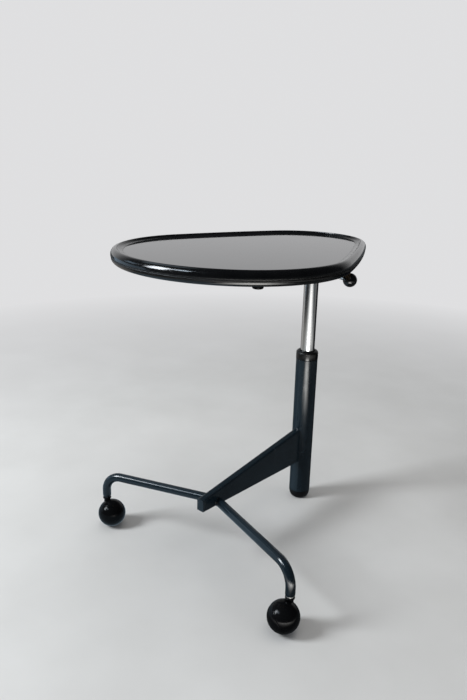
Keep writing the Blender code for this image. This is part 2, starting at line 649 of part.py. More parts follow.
def make_caster(side, sign, trail_angle, plastic, steel):
    """A swivelling hood on a stem, and the half ball that rolls on its tilted axle."""
    place = (sign * CASTER_HALF_SPREAD, -CASTER_REACH, 0)
    swivel = add_axis(f"{side}_caster_axis", place, Matrix.Rotation(trail_angle, 4, "Z"))
    # The roll axis leans down to one side, so that the ball trails, with the floor contact in its XZ plane
    lean = Matrix.Rotation(math.pi / 2 + CASTER_TILT, 4, "Y")
    roll_turn = Matrix.Rotation(CASTER_SKEW, 4, "Z") @ lean
    roll = add_axis(f"{side}_roll_axis", (CASTER_TRAIL, 0, BALL_RADIUS), roll_turn, swivel)
    seam = BALL_SEAM / 2
    bore_half = AXLE_HALF_LENGTH + SEAT_GAP
    axle_bore = disc_profile(AXLE_RADIUS + FIT_GAP, -bore_half, bore_half)

    hood_axis = add_axis(f"{side}_hood_axis", (0, 0, 0), Matrix.Rotation(math.pi, 4, "X"), roll)
    hood = add_object(f"{side}_hood", turned(half_ball(seam), ROUND_SIDES), plastic, hood_axis)
    flange_bottom = hood_top - HOOD_FLANGE_HEIGHT
    neck = [(0, hood_top), (HOOD_FLANGE_RADIUS, hood_top), (HOOD_FLANGE_RADIUS, flange_bottom)]
    neck += [(HOOD_NECK_RADIUS, flange_bottom), (HOOD_NECK_RADIUS, flange_bottom - HOOD_NECK_DEPTH)]
    neck += [(0, flange_bottom - HOOD_NECK_DEPTH)]
    cut(hood, add_object(f"{side}_neck_guide", turned(neck, ROUND_SIDES), None, swivel), "UNION")
    bore_bottom = hood_top - HOOD_BORE_DEPTH
    stem_bore = disc_profile(STEM_RADIUS + FIT_GAP, bore_bottom, hood_top + HOOD_BORE_DEPTH)
    cut(hood, add_object(f"{side}_stem_bore_cut", turned(stem_bore, SMALL_SIDES), None, swivel))
    axle_cut = add_object(f"{side}_axle_bore_cut", turned(axle_bore, SMALL_SIDES), None, roll)
    cut(hood, axle_cut)

    stem = disc_profile(STEM_RADIUS, bore_bottom + SEAT_GAP, socket_top)
    add_object(f"{side}_stem", turned(stem, SMALL_SIDES), steel, swivel)
    axle = disc_profile(AXLE_RADIUS, -AXLE_HALF_LENGTH, AXLE_HALF_LENGTH)
    add_object(f"{side}_axle", turned(axle, SMALL_SIDES), steel, roll)
    wheel = add_object(f"{side}_wheel", turned(half_ball(seam), ROUND_SIDES), plastic, roll)
    cut(wheel, axle_cut)


def make_beam(paint):
    """A folded channel from the column to the legs, open below and closed at its tip."""
    root_y = 0.0
    tip_y = -BEAM_REACH

    def edges(y):
        share = (y - root_y) / (tip_y - root_y)
        root_low = leg_height - BEAM_ROOT_DROP
        tip_low = leg_height - BEAM_TIP_DROP
        low = root_low + share * (tip_low - root_low)
        root_high = root_low + BEAM_ROOT_HEIGHT
        tip_high = tip_low + BEAM_TIP_HEIGHT
        return low, root_high + share * (tip_high - root_high)

    def outer_section(y):
        low, high = edges(y)
        half = BEAM_WIDTH / 2
        arc_centre = (half - BEAM_EDGE_ROUND, high - BEAM_EDGE_ROUND)
        right = [(half, low)] + quarter_arc(arc_centre, BEAM_EDGE_ROUND, 0, math.pi / 2)
        left = [(-x, z) for x, z in reversed(right)]
        return [(x, y, z) for x, z in right + left]

    def inner_section(y):
        low, high = edges(y)
        half = BEAM_WIDTH / 2 - BEAM_SHEET
        corners = [(half, low - BEAM_ROOT_HEIGHT), (half, high - BEAM_SHEET)]
        corners += [(-half, high - BEAM_SHEET), (-half, low - BEAM_ROOT_HEIGHT)]
        return [(x, y, z) for x, z in corners]

    beam = add_object("beam", lofted([outer_section(root_y), outer_section(tip_y)]), paint)
    hollow_tip = tip_y + BEAM_SHEET
    hollow = lofted([inner_section(root_y - tip_y), inner_section(hollow_tip)])
    cut(beam, add_object("beam_hollow_cut", hollow, None))
    column = turned(disc_profile(COLUMN_RADIUS + SEAT_GAP, 0, column_top), FINE_SIDES)
    cut(beam, add_object("beam_cope_cut", column, None))


def main():
    clear_scene()
    paint = make_material("blue_grey_paint", (0.022, 0.034, 0.044), 0.32, 0.0)
    chrome = make_material("chrome", (0.80, 0.81, 0.82), 0.06, 1.0)
    steel = make_material("zinc_steel", (0.60, 0.61, 0.62), 0.35, 1.0)
    casting = make_material("black_casting", (0.02, 0.02, 0.022), 0.5, 0.0)
    plastic = make_material("gloss_black_plastic", (0.008, 0.008, 0.009), 0.15, 0.0)
    collar_plastic = make_material("satin_black_plastic", (0.012, 0.013, 0.014), 0.3, 0.0)
    rim_plastic = make_material("rim_black_plastic", (0.006, 0.006, 0.007), 0.12, 0.0)
    panel_gloss = make_material("black_gloss_laminate", (0.010, 0.010, 0.012), 0.05, 0.0)
    wood = make_material("fibreboard", (0.34, 0.24, 0.15), 0.8, 0.0)
    nylon = make_material("white_nylon", (0.75, 0.74, 0.70), 0.45, 0.0)
    rubber = make_material("black_rubber", (0.015, 0.015, 0.015), 0.8, 0.0)

    swivel = add_axis("swivel_axis", (0, 0, 0))
    slide = add_axis("height_axis", (0, 0, 0), None, swivel)
    pivot = add_axis("top_pivot_axis", (0, -PIVOT_REACH, 0), None, slide)

    make_column(paint, collar_plastic, steel, rubber)
    make_beam(paint)
    make_gas_spring(swivel, slide, chrome, steel)
    make_head_and_lever(slide, casting, chrome, steel, plastic)
    make_arm(slide, paint, nylon)
    make_pivot(pivot, steel, plastic)
    make_top(pivot, rim_plastic, panel_gloss, wood, steel)
    for side, sign, trail_angle in (("left", -1, LEFT_TRAIL_ANGLE), ("right", 1, RIGHT_TRAIL_ANGLE)):
        make_leg(side, sign, paint, steel)
        make_caster(side, sign, trail_angle, plastic, steel)


main()
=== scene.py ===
"""Looks of the adjustable side table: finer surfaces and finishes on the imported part, light and camera.

Metres, +Z up. The origin is on the floor under the column's axis, and the legs point along -Y.
"""

import json
import math

import bmesh
import bpy
from mathutils import Matrix, Vector

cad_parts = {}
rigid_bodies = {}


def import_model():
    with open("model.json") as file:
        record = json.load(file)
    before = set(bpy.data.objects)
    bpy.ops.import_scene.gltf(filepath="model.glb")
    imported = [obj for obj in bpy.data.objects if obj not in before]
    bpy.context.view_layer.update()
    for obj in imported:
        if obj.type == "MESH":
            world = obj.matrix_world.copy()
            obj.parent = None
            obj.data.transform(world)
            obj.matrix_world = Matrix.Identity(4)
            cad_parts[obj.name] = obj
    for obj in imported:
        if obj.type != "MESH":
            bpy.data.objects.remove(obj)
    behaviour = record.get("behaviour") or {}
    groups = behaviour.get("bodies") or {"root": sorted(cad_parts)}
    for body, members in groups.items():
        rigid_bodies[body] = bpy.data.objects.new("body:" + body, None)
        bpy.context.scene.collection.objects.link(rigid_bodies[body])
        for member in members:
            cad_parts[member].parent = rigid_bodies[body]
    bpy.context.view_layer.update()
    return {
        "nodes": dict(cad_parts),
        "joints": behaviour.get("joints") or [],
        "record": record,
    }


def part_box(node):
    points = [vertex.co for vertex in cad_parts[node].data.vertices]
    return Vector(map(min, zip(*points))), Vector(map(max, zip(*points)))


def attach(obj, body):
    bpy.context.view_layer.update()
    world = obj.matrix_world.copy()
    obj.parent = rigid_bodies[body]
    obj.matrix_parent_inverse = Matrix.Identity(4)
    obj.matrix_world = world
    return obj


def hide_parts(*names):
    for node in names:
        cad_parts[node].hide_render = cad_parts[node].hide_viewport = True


UP = Vector((0, 0, 1))
SIDES = ("left", "right")
SEAT_GAP = 0.0003  # between pieces that rest on each other or fit round each other

# Outline of the rim's crest, from behind the column round one side to the front
TAIL_REACH = 0.0625
TAIL_RADIUS = 0.111
TAIL_TURN = math.radians(61.9)
SIDE_RADIUS = 1.469
SIDE_TURN = math.radians(8.1)
SHOULDER_RADIUS = 0.166
SHOULDER_TURN = math.radians(70.6)
OUTLINE_SPACING = 0.004
LEAST_ARC_STEPS = 6

# Section of the rim, outwards from its crest
RIM_OVERHANG = 0.010
RIM_SHOULDER_DROP = 0.0112
RIM_SHOULDER_POWER = 2.1
RIM_SHOULDER_START = math.radians(8.0)
RIM_UNDERCUT = 0.0080
RIM_BOTTOM_ROUND = 0.0085
CREST_ROUND = 0.0006
CREST_JOIN = ((-0.3, 0.75), (0.25, 0.2))  # outwards and down, in shares of the crest's round
LIP_RUN = 0.010
LIP_TURN = math.radians(82.0)
BEAD_HEIGHT = 0.0090
BEAD_SETBACK = 0.0005
BEAD_ROUND = 0.0004
BEAD_FOOT_ROUND = 0.00015
GROOVE_WIDTH = 0.0012
GROOVE_DEPTH = 0.0012
GROOVE_LIP_ROUND = 0.0005
GROOVE_FLOOR_ROUND = 0.0003
GROOVE_DUST_REACH = 0.0012
DUST_ROUGHNESS = 0.40
DUST_EDGE = 0.0005
PANEL_PLAY = 0.0001
PANEL_EDGE = 0.0003

# Column, collar, foot and cylinder
COLUMN_WALL = 0.0025
COLUMN_EDGE = 0.0005
FOOT_FLAT_RADIUS = 0.013
COLLAR_ROUND = 0.0052
COLLAR_ROUND_DEGREES = range(18, 91, 8)
COLLAR_DISH = 0.004
COLLAR_CREST_ROUND = 0.0012
COLLAR_FOOT_ROUND = 0.0004
CYLINDER_WALL = 0.002
CYLINDER_ROOF = 0.004
CYLINDER_EDGE = 0.0010

# Lever
LEVER_ANGLE = math.radians(-23.0)
LEVER_TIP = 0.004
LEVER_TIP_ROUND = 0.0006
LEVER_END_ROUND = 0.0004
LEVER_SIDES = 48
KNOB_REACH = 0.1207
KNOB_RADIUS = 0.0125
KNOB_FLAT_RADIUS = 0.006
KNOB_SIDES = 64
ROD_PAST_KNOB_MIDDLE = 0.1  # in knob radii

# Legs, beam and welds
LEG_RADIUS = 0.008
LEG_BEND_RADIUS = 0.032
LEG_BEND_STEPS = 24
LEG_SIDES = 48
LEG_END_ROUND = 0.0012
LEG_END_STEPS = 4
LEG_JOINT_REACH = 0.2675
LEG_CUT_REACH = 0.0005
LEVEL_TOLERANCE = 0.00005
BEAM_SHEET = 0.002
BEAM_EDGE_ROUND = 0.0040
BEAM_LIP_ROUND = 0.0005
BEAM_TIP_DROP = 0.0035
BEAM_TIP_HEIGHT = 0.022
BEAM_ROOT_DROP = 0.0155
BEAM_ROOT_HEIGHT = 0.075
WELD_RADIUS = 0.0008
WELD_SIDES = 12
WELD_SPACING = 0.0008
WELD_LOW_END = 0.0006
WELD_FOLD_STEPS = 4
WELD_RIPPLE = 0.5  # in bead radii
WELD_RIPPLE_SCALE = 420.0
WELD_RIPPLE_SEED = 3.0

# Leg-end rings and casters
RING_BORE = 0.0043
RING_TOP_ROUND = 0.0004
RING_LOW_ROUND = 0.0006
BALL_RADIUS = 0.026
BALL_SEAM = 0.0004
SEAM_ROUND = 0.0003
HOOD_NECK_RADIUS = 0.0060
HOOD_NECK_DEPTH = 0.012
HOOD_NECK_ROUND = 0.0008
HOOD_FLANGE_RADIUS = 0.0078
HOOD_FLANGE_HEIGHT = 0.0022
HOOD_FLANGE_ROUND = 0.0006

# Small parts under the top
ARM_CORNER = 0.003
ARM_WALL = 0.002
ARM_EDGE = 0.0004
BROKEN_EDGES = {"head": 0.0008, "top_plate": 0.0005, "slip_washer": 0.0003, "pivot_washer": 0.0002}
CAP_TOP_ROUND = 0.0005
CAP_LOW_ROUND = 0.003
SCREW_COUNT = 4
SCREW_CIRCLE_RADIUS = 0.047
SCREW_SIDES = 32
SCREW_SHANK_RADIUS = 0.002
SCREW_TIP_ROUND = 0.0004
SCREW_HEAD_RADIUS = 0.004
SCREW_HEAD_HEIGHT = 0.0017
SCREW_SEAT_ROUND = 0.0002
SCREW_DOME_ROUND = 0.0011
SCREW_RECESS = (0.0042, 0.0008, 0.0020)

# How finely round surfaces are drawn
TURNED_SIDES = 96
ROUND_STEPS = 6
SUPPORT = 0.2  # share of a round's radius from its arc to the point that keeps the next straight flat
ROUND_MIDDLE = 0.3  # share of a small round's radius at the one point that draws it
SMOOTH_ANGLE = math.radians(32.0)
FLAT_ANGLE = math.radians(1.0)
MERGE_DISTANCE = 1e-6

# Finishes. A noise is given as its scale in waves per metre, its detail and its stretch along X, Y and Z,
# and mostly keeps to its middle range. Marks are a noise, the largest share that they take, the range of
# the noise where they show, and a tone. Gloss is a noise with the lowest and highest roughness, and
# relief a noise with its strength and depth.
NOISE_MIDDLE = (0.35, 0.65)
WIDE_MIDDLE = (0.3, 0.7)
FINISHES = {
    "blue_grey_paint": {  # stoved, with a close mottle, orange-peel, a few lighter bluish patches drawn out upright, and pale dust
        "mottle": (16.0,),
        "tones": ((0.0062, 0.0125, 0.0178), (0.0095, 0.0172, 0.0235)),
        "marks": (
            ((90.0, 2.0, (1.0, 1.0, 0.2)), 0.28, (0.66, 0.78), (0.075, 0.088, 0.095)),
            ((850.0, 1.0), 0.40, (0.73, 0.80), (0.17, 0.175, 0.17)),
        ),
        "gloss": ((45.0,), 0.15, 0.22),
        "relief": ((480.0, 1.5), 0.12, 0.0002),
    },
    "chrome": {  # bright plating with faint lengthwise wipe marks
        "mottle": (260.0, 3.0, (1.0, 1.0, 0.03)),
        "tones": ((0.80, 0.81, 0.82), (0.86, 0.865, 0.87)),
        "gloss": ((260.0, 3.0, (1.0, 1.0, 0.03)), 0.10, 0.16),
        "relief": ((38.0, 1.0, (1.0, 1.0, 0.2)), 0.05, 0.0002),
        "constants": {"Metallic": 1.0},
    },
    "zinc_steel": {  # satin plating with a fine spangle and a faint warm bloom
        "mottle": (60.0,),
        "tones": ((0.58, 0.59, 0.60), (0.66, 0.65, 0.61)),
        "gloss": ((520.0, 2.0), 0.27, 0.42),
        "relief": ((900.0, 2.0), 0.12, 0.0001),
        "constants": {"Metallic": 1.0},
    },
    "black_casting": {  # painted, with a pebbled skin
        "mottle": (30.0,),
        "tones": ((0.016, 0.016, 0.018), (0.026, 0.027, 0.029)),
        "gloss": ((160.0,), 0.42, 0.56),
        "relief": ((420.0, 3.0), 0.35, 0.0003),
    },
    "black_gloss_laminate": {  # nearly a mirror at a low angle, with wipe marks and a trace of dust
        "mottle": (7.0,),
        "tones": ((0.0085, 0.0086, 0.0092), (0.0125, 0.0126, 0.0132)),
        "marks": (((700.0, 1.0), 0.22, (0.74, 0.82), (0.16, 0.16, 0.155)),),
        "gloss": ((26.0, 5.0, (1.0, 0.25, 1.0)), 0.035, 0.075),
        "relief": ((9.0, 1.0), 0.03, 0.0004),
        "constants": {"IOR": 1.56},
    },
    "fibreboard": {  # pressed wood fibre, seen only from below
        "mottle": (420.0, 6.0, (1.0, 0.35, 1.0)),
        "span": WIDE_MIDDLE,
        "tones": ((0.25, 0.165, 0.095), (0.40, 0.285, 0.175)),
        "gloss": ((300.0,), 0.72, 0.86),
        "relief": ((650.0, 4.0), 0.3, 0.0002),
    },
    "white_nylon": {
        "mottle": (80.0,),
        "tones": ((0.70, 0.69, 0.65), (0.78, 0.77, 0.73)),
        "gloss": ((240.0,), 0.40, 0.50),
        "relief": ((900.0, 2.0), 0.15, 0.0001),
    },
    "black_rubber": {
        "mottle": (80.0,),
        "tones": ((0.012, 0.012, 0.012), (0.020, 0.020, 0.020)),
        "gloss": ((240.0,), 0.72, 0.86),
        "relief": ((900.0, 2.0), 0.15, 0.0001),
    },
}
BLACK_PLASTIC = {  # moulded, with pale specks of dust
    "mottle": (22.0,),
    "tones": ((0.0026, 0.0027, 0.0030), (0.0046, 0.0047, 0.0051)),
    "marks": (((1100.0, 1.0), 0.30, (0.75, 0.82), (0.10, 0.10, 0.095)),),
}
BLACK_PLASTICS = {  # lowest and highest roughness, scale and strength of the relief, reflection
    "gloss_black_plastic": (0.10, 0.17, 70.0, 0.04, 0.10),
    "knob_black_plastic": (0.10, 0.17, 70.0, 0.04, 0.50),
    "satin_black_plastic": (0.08, 0.13, 900.0, 0.05, 0.50),
    "rim_black_plastic": (0.11, 0.19, 45.0, 0.04, 0.50),
}
for plastic, (low, high, scale, strength, reflection) in BLACK_PLASTICS.items():
    FINISHES[plastic] = {
        **BLACK_PLASTIC,
        "gloss": ((120.0, 4.0), low, high),
        "relief": ((scale, 2.0), strength, 0.0002),
        "constants": {"IOR": 1.49, "Specular IOR Level": reflection},
    }

# Camera of the photograph's frame, 467 by 700 pixels
IMAGE_HEIGHT = 700
FOCAL_PIXELS = 645
SENSOR = 36.0
CLIP_START = 0.02
CAMERA_PLACE = Vector((0.6789, -1.0390, 0.7123))
CAMERA_AZIMUTH = math.radians(40.005)
CAMERA_PITCH = math.radians(17.56)
CAMERA_ROLL = math.radians(1.334)
TOWARD_CAMERA = Vector((math.sin(CAMERA_AZIMUTH), -math.cos(CAMERA_AZIMUTH), 0))
CAMERA_RIGHT = Vector((math.cos(CAMERA_AZIMUTH), math.sin(CAMERA_AZIMUTH), 0))

# Floor, surround and lamps
FLOOR_REACH = 12.0
FLOOR_GRAIN = (5.0, 6.0)
FLOOR_ROUGHNESS = 0.85
FLOOR_COLOURS = ((0.62, 0.60, 0.57), (0.67, 0.65, 0.62))
FLOOR_FADE = (0.7, 2.0)
SURROUND_COLOUR = (0.74, 0.74, 0.75)
AMBIENT_COLOUR = (0.86, 0.92, 1.0, 1.0)
AMBIENT_STRENGTH = 0.37
LAMP_AIM = Vector((0.0, -0.15, 0.30))
LAMPS = (  # name, place, width, height, watts, colour, seen by gloss
    ("left_softbox", (-1.15, -1.79, 1.50), 0.65, 0.95, 52.0, (0.88, 0.94, 1.0), True),
    ("overhead", (0.1, 0.1, 2.4), 2.0, 2.0, 16.0, (1.0, 0.98, 0.95), False),
)

# What only gloss sees: dim tones of the surround and of the floor, a sunlit patch of floor and far cards.
# The patch is strong and narrow near the table, then weaker and wide. Level angles are in degrees from
# the side toward the camera, positive to the right.
GLOSS_DIM = (0.030, 0.033, 0.037)
GLOSS_BEHIND = (0.45, 0.80)
GLOSS_OVERHEAD = (0.30, 0.60)
FLOOR_IN_GLOSS = (0.080, 0.088, 0.094)
FLOOR_TONES = (  # from, to, near, far, tone
    (-150.0, -97.0, 0.05, 0.97, (0.10, 0.135, 0.165)),
    (-97.0, -30.0, 0.05, 0.97, (0.30, 0.40, 0.48)),
    (-150.0, -97.0, 0.97, 3.2, (0.33, 0.32, 0.31)),
    (-97.0, -45.0, 0.97, 1.48, (0.22, 0.215, 0.20)),
    (-95.0, -47.0, 1.48, 1.9, (0.03, 0.03, 0.03)),
    (-108.0, -47.0, 1.9, 3.2, (0.016, 0.018, 0.018)),
    (72.0, 93.0, 0.97, 3.2, (0.14, 0.14, 0.135)),
    (93.0, 178.0, 0.97, 3.2, (0.010, 0.011, 0.014)),
    (110.0, 178.0, 0.05, 0.97, (0.020, 0.022, 0.024)),
)
TONE_EDGE_DEGREES = 2.0
TONE_EDGE_REACH = 0.02
PATCH_COLOUR = (1.0, 0.985, 0.955, 1.0)
PATCH_NEAR = (0.485, 0.76)
PATCH_CHANGE = (1.06, 1.08)
PATCH_FAR = (2.35, 2.60)
PATCH_FRONT = (0.0, 0.3)
PATCH_SIDES = (0.4, 1.6)  # in widths from the middle
PATCH_MIDDLES = (-0.012, 0.12)
PATCH_WIDTHS = (0.235, 0.76)
PATCH_STRENGTHS = (11.0, 1.25)
CARDS = (  # name, distance, from, to, low, high, tone
    ("far_left_card", 2.44, -109.0, -95.0, 0.95, 1.45, (0.75, 1.0, 1.25)),
    ("far_left_low_card", 2.44, -130.0, -80.0, 0.05, 0.62, (0.45, 0.60, 0.75)),
    ("softbox_edge_card", 2.03, -61.0, -47.0, 1.65, 2.10, (12.0, 14.0, 16.0)),
    ("left_back_card", 1.40, -145.0, -106.0, 1.65, 3.30, (0.50, 0.62, 0.70)),
)
CARD_GRAIN = 3.0
CARD_MOTTLE = 1.15
CARD_ROUGHNESS = 0.9


def clear_scene():
    for old in list(bpy.data.objects):
        bpy.data.objects.remove(old, do_unlink=True)


# Nodes and finishes


def fill_inputs(tree, node, inputs):
    """Sets each input to a plain value, or links it to an output; a node stands for its first output."""
    for name, value in inputs.items():
        if isinstance(value, bpy.types.Node):
            value = value.outputs[0]
        if isinstance(value, bpy.types.NodeSocket):
            tree.links.new(value, node.inputs[name])
        else:
            node.inputs[name].default_value = value


def add_node(tree, kind, inputs=None, **settings):
    node = tree.nodes.new(kind)
    for name, value in settings.items():
        setattr(node, name, value)
    fill_inputs(tree, node, inputs or {})
    return node


def calculate(tree, operation, *values, kind="ShaderNodeMath"):
    """The number that a Math or Vector Math node makes of its values, in their order."""
    return add_node(tree, kind, dict(enumerate(values)), operation=operation).outputs["Value"]


def product_of(tree, first, *others):
    for other in others:
        first = calculate(tree, "MULTIPLY", first, other)
    return first


def spread(tree, value, low=0.0, high=1.0, start=NOISE_MIDDLE[0], end=NOISE_MIDDLE[1]):
    """Maps a noise's middle range, or the stated one, onto low to high."""
    inputs = {"Value": value, "From Min": start, "From Max": end, "To Min": low, "To Max": high}
    return add_node(tree, "ShaderNodeMapRange", inputs)


def between(tree, value, low, high, edge):
    """1 between low and high, 0 outside, with soft edges."""
    rise = spread(tree, value, 0.0, 1.0, low - edge, low + edge)
    return product_of(tree, rise, spread(tree, value, 1.0, 0.0, high - edge, high + edge))


def object_place(tree):
    return add_node(tree, "ShaderNodeTexCoord").outputs["Object"]


def height_of(tree, place):
    return add_node(tree, "ShaderNodeSeparateXYZ", {"Vector": place}).outputs["Z"]


def grain(tree, scale, detail=3.0, stretch=(1.0, 1.0, 1.0)):
    """Noise over the piece's own object coordinates; scale is in waves per metre."""
    mapping = add_node(tree, "ShaderNodeMapping", {"Vector": object_place(tree), "Scale": stretch})
    return add_node(tree, "ShaderNodeTexNoise", {"Vector": mapping, "Scale": scale, "Detail": detail})


def blend_colours(tree, factor, first, second):
    """Mixes two colours; the first may be another node's output."""
    if not isinstance(first, bpy.types.NodeSocket):
        first = (*first, 1.0)
    # A Mix node has its colour inputs at 6 and 7 and its colour output at 2
    inputs = {0: factor, 6: first, 7: (*second, 1.0)}
    return add_node(tree, "ShaderNodeMix", inputs, data_type="RGBA").outputs[2]


def mix_shaders(tree, factor, first, second):
    return add_node(tree, "ShaderNodeMixShader", {"Fac": factor, 1: first, 2: second})


def start_material(name):
    material = bpy.data.materials.new(name)
    material.use_nodes = True
    tree = material.node_tree
    return material, tree, tree.nodes["Principled BSDF"]


def make_finish(name, mottle, tones, gloss, relief, span=NOISE_MIDDLE, marks=(), constants=None):
    """Two tones with marks on them, a wandering gloss and a shallow relief.

    Constant values go straight on the shader's sockets.
    """
    material, tree, shader = start_material(name)
    colour = blend_colours(tree, spread(tree, grain(tree, *mottle), 0.0, 1.0, *span), *tones)
    for noise, share, shown, tone in marks:
        colour = blend_colours(tree, spread(tree, grain(tree, *noise), 0.0, share, *shown), colour, tone)
    noise, low, high = gloss
    roughness = spread(tree, grain(tree, *noise), low, high)
    noise, strength, depth = relief
    inputs = {"Height": grain(tree, *noise), "Strength": strength, "Distance": depth}
    normal = add_node(tree, "ShaderNodeBump", inputs)
    inputs = {"Base Color": colour, "Roughness": roughness, "Normal": normal, **(constants or {})}
    fill_inputs(tree, shader, inputs)
    return material


def dull_between(material, low, high):
    """Settled dust takes a moulding's gloss away between two heights."""
    tree = material.node_tree
    shader = tree.nodes["Principled BSDF"]
    gloss = shader.inputs["Roughness"].links[0].from_socket
    dusty = between(tree, height_of(tree, object_place(tree)), low, high, DUST_EDGE)
    dust = spread(tree, dusty, 0.0, DUST_ROUGHNESS, start=0.0, end=1.0)
    fill_inputs(tree, shader, {"Roughness": calculate(tree, "ADD", gloss, dust)})


# Shapes


def angles(start, end, steps):
    """Even steps from one angle to another, with both ends."""
    return [start + (end - start) * k / steps for k in range(steps + 1)]


def full_turn(steps):
    return angles(0.0, 2 * math.pi, steps)[:-1]


def rounded(corners, closed=False):
    """Corners given as (x, y) or (x, y, round) become points, with an arc at each rounded corner.

    A point just before and after each arc keeps the straight beside it flat when it is shaded smooth.
    """
    points = []
    count = len(corners)
    for k, corner in enumerate(corners):
        here = Vector(corner[:2])
        radius = corner[2] if len(corner) > 2 else 0.0
        at_end = not closed and k in (0, count - 1)
        if radius == 0.0 or at_end:
            points.append(here)
            continue
        before = (Vector(corners[k - 1][:2]) - here).normalized()
        after = (Vector(corners[(k + 1) % count][:2]) - here).normalized()
        half = before.angle(after) / 2
        centre = here + (before + after).normalized() * radius / math.sin(half)
        start = here + before * radius / math.tan(half) - centre
        sweep = math.copysign(math.pi - 2 * half, start.cross(here - centre))
        tangent = radius / math.tan(half) + SUPPORT * radius
        points.append(here + before * tangent)
        for step in range(ROUND_STEPS + 1):
            turn = Matrix.Rotation(sweep * step / ROUND_STEPS, 2)
            points.append(centre + turn @ start)
        points.append(here + after * tangent)
    return points


def bridge(bm, first, second):
    """Faces between two rings of as many points, or between a ring and a single point."""
    for k in range(max(len(first), len(second))):
        corners = [first[k % len(first)], first[(k + 1) % len(first)]]
        corners += [second[(k + 1) % len(second)], second[k % len(second)]]
        bm.faces.new(list(dict.fromkeys(corners)))


def turned(profile, sides=TURNED_SIDES):
    """Turns (radius, height) points about Z; a profile off the axis at both ends is a closed ring."""
    bm = bmesh.new()
    rings = []
    for radius, height in profile:
        points = [(radius * math.cos(a), radius * math.sin(a), height) for a in full_turn(sides)]
        if radius == 0:
            points = [(0, 0, height)]
        rings.append([bm.verts.new(point) for point in points])
    pairs = list(zip(rings, rings[1:]))
    if len(rings[0]) > 1:
        pairs.append((rings[-1], rings[0]))
    for first, second in pairs:
        bridge(bm, first, second)
    return bm


def lofted(loops, capped=True):
    """Skins loops of as many points; the ends are capped, or else the last loop meets the first."""
    bm = bmesh.new()
    rings = [[bm.verts.new(point) for point in loop] for loop in loops]
    pairs = list(zip(rings, rings[1:]))
    if not capped:
        pairs.append((rings[-1], rings[0]))
    for first, second in pairs:
        bridge(bm, first, second)
    if capped:
        bm.faces.new(rings[0])
        bm.faces.new(rings[-1])
    return bm


def mesh_from(bm, name, place=None):
    """A mesh with outward faces, put in its place in the table's frame."""
    bmesh.ops.recalc_face_normals(bm, faces=bm.faces)
    mesh = bpy.data.meshes.new(name)
    bm.to_mesh(mesh)
    bm.free()
    if place:
        mesh.transform(place)
    return mesh


def add_object(name, data):
    item = bpy.data.objects.new(name, data)
    bpy.context.collection.objects.link(item)
    return item


def add_piece(name, mesh, *nodes):
    """A finished piece that stands for CAD nodes, rides on their body and takes their finish."""
    mesh.shade_smooth()
    mesh.set_sharp_from_angle(angle=SMOOTH_ANGLE)
    mesh.materials.clear()
    mesh.materials.append(finishes[slot_of[nodes[0]]])
    piece = add_object(name, mesh)
    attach(piece, body_of[nodes[0]])
    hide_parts(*nodes)
    return piece


def add_turned(name, profile, node, place=None, sides=TURNED_SIDES):
    return add_piece(name, mesh_from(turned(profile, sides), name, place), node)


def baked(holder):
    """The evaluated shape of an object as a plain mesh; the object and its modifiers go."""
    graph = bpy.context.evaluated_depsgraph_get()
    mesh = bpy.data.meshes.new_from_object(holder.evaluated_get(graph))
    bpy.data.objects.remove(holder, do_unlink=True)
    return mesh


def joined(first, second, operation):
    """Two meshes joined or cut by an exact Boolean, as a plain mesh."""
    holder = add_object("boolean_holder", first)
    other = add_object("boolean_other", second)
    modifier = holder.modifiers.new("boolean", "BOOLEAN")
    modifier.operation = operation
    modifier.solver = "EXACT"
    modifier.object = other
    mesh = baked(holder)
    bpy.data.objects.remove(other, do_unlink=True)
    return mesh


def softened_copy(node, width):
    """A CAD node's own shape as one skin, with its sharp edges broken by a small bevel."""
    bm = bmesh.new()
    bm.from_mesh(frame["nodes"][node].data)
    bmesh.ops.remove_doubles(bm, verts=bm.verts, dist=MERGE_DISTANCE)
    bmesh.ops.dissolve_limit(bm, angle_limit=FLAT_ANGLE, verts=bm.verts, edges=bm.edges)
    mesh = bpy.data.meshes.new(node)
    bm.to_mesh(mesh)
    bm.free()
    holder = add_object("bevel_holder", mesh)
    bevel = holder.modifiers.new("bevel", "BEVEL")
    bevel.width = width
    bevel.segments = 2
    bevel.limit_method = "ANGLE"
    bevel.angle_limit = SMOOTH_ANGLE
    bevel.harden_normals = False
    return baked(holder)


def path_curve(name, points, closed):
    curve = bpy.data.curves.new(name, "CURVE")
    curve.dimensions = "3D"
    spline = curve.splines.new("POLY")
    spline.points.add(len(points) - 1)
    for knot, point in zip(spline.points, points):
        knot.co = (*point, 1.0)
    spline.use_cyclic_u = closed
    return add_object(name, curve)


# Geometry Nodes trees


def start_tree(name, kinds):
    """An empty tree with named inputs of the stated kinds, and what its group input gives."""
    tree = bpy.data.node_groups.new(name, "GeometryNodeTree")
    for socket, kind in {"Geometry": "Geometry", **kinds, "Finish": "Material"}.items():
        tree.interface.new_socket(socket, in_out="INPUT", socket_type=f"NodeSocket{kind}")
    tree.interface.new_socket("Geometry", in_out="OUTPUT", socket_type="NodeSocketGeometry")
    return tree, add_node(tree, "NodeGroupInput").outputs


def close_tree(tree, given, shape):
    """Ends a tree with real geometry in the piece's finish."""
    real = add_node(tree, "GeometryNodeRealizeInstances", {"Geometry": shape})
    inputs = {"Geometry": real, "Material": given["Finish"]}
    add_node(tree, "NodeGroupOutput", {"Geometry": add_node(tree, "GeometryNodeSetMaterial", inputs)})
    return tree


def grown(holder, tree, inputs):
    """The plain mesh that a tree makes of an object; each input is set by its socket's identifier."""
    modifier = holder.modifiers.new(tree.name, "NODES")
    modifier.node_group = tree
    for item in tree.interface.items_tree:
        if item.item_type == "SOCKET" and item.in_out == "INPUT" and item.name in inputs:
            modifier[item.identifier] = inputs[item.name]
    return baked(holder)


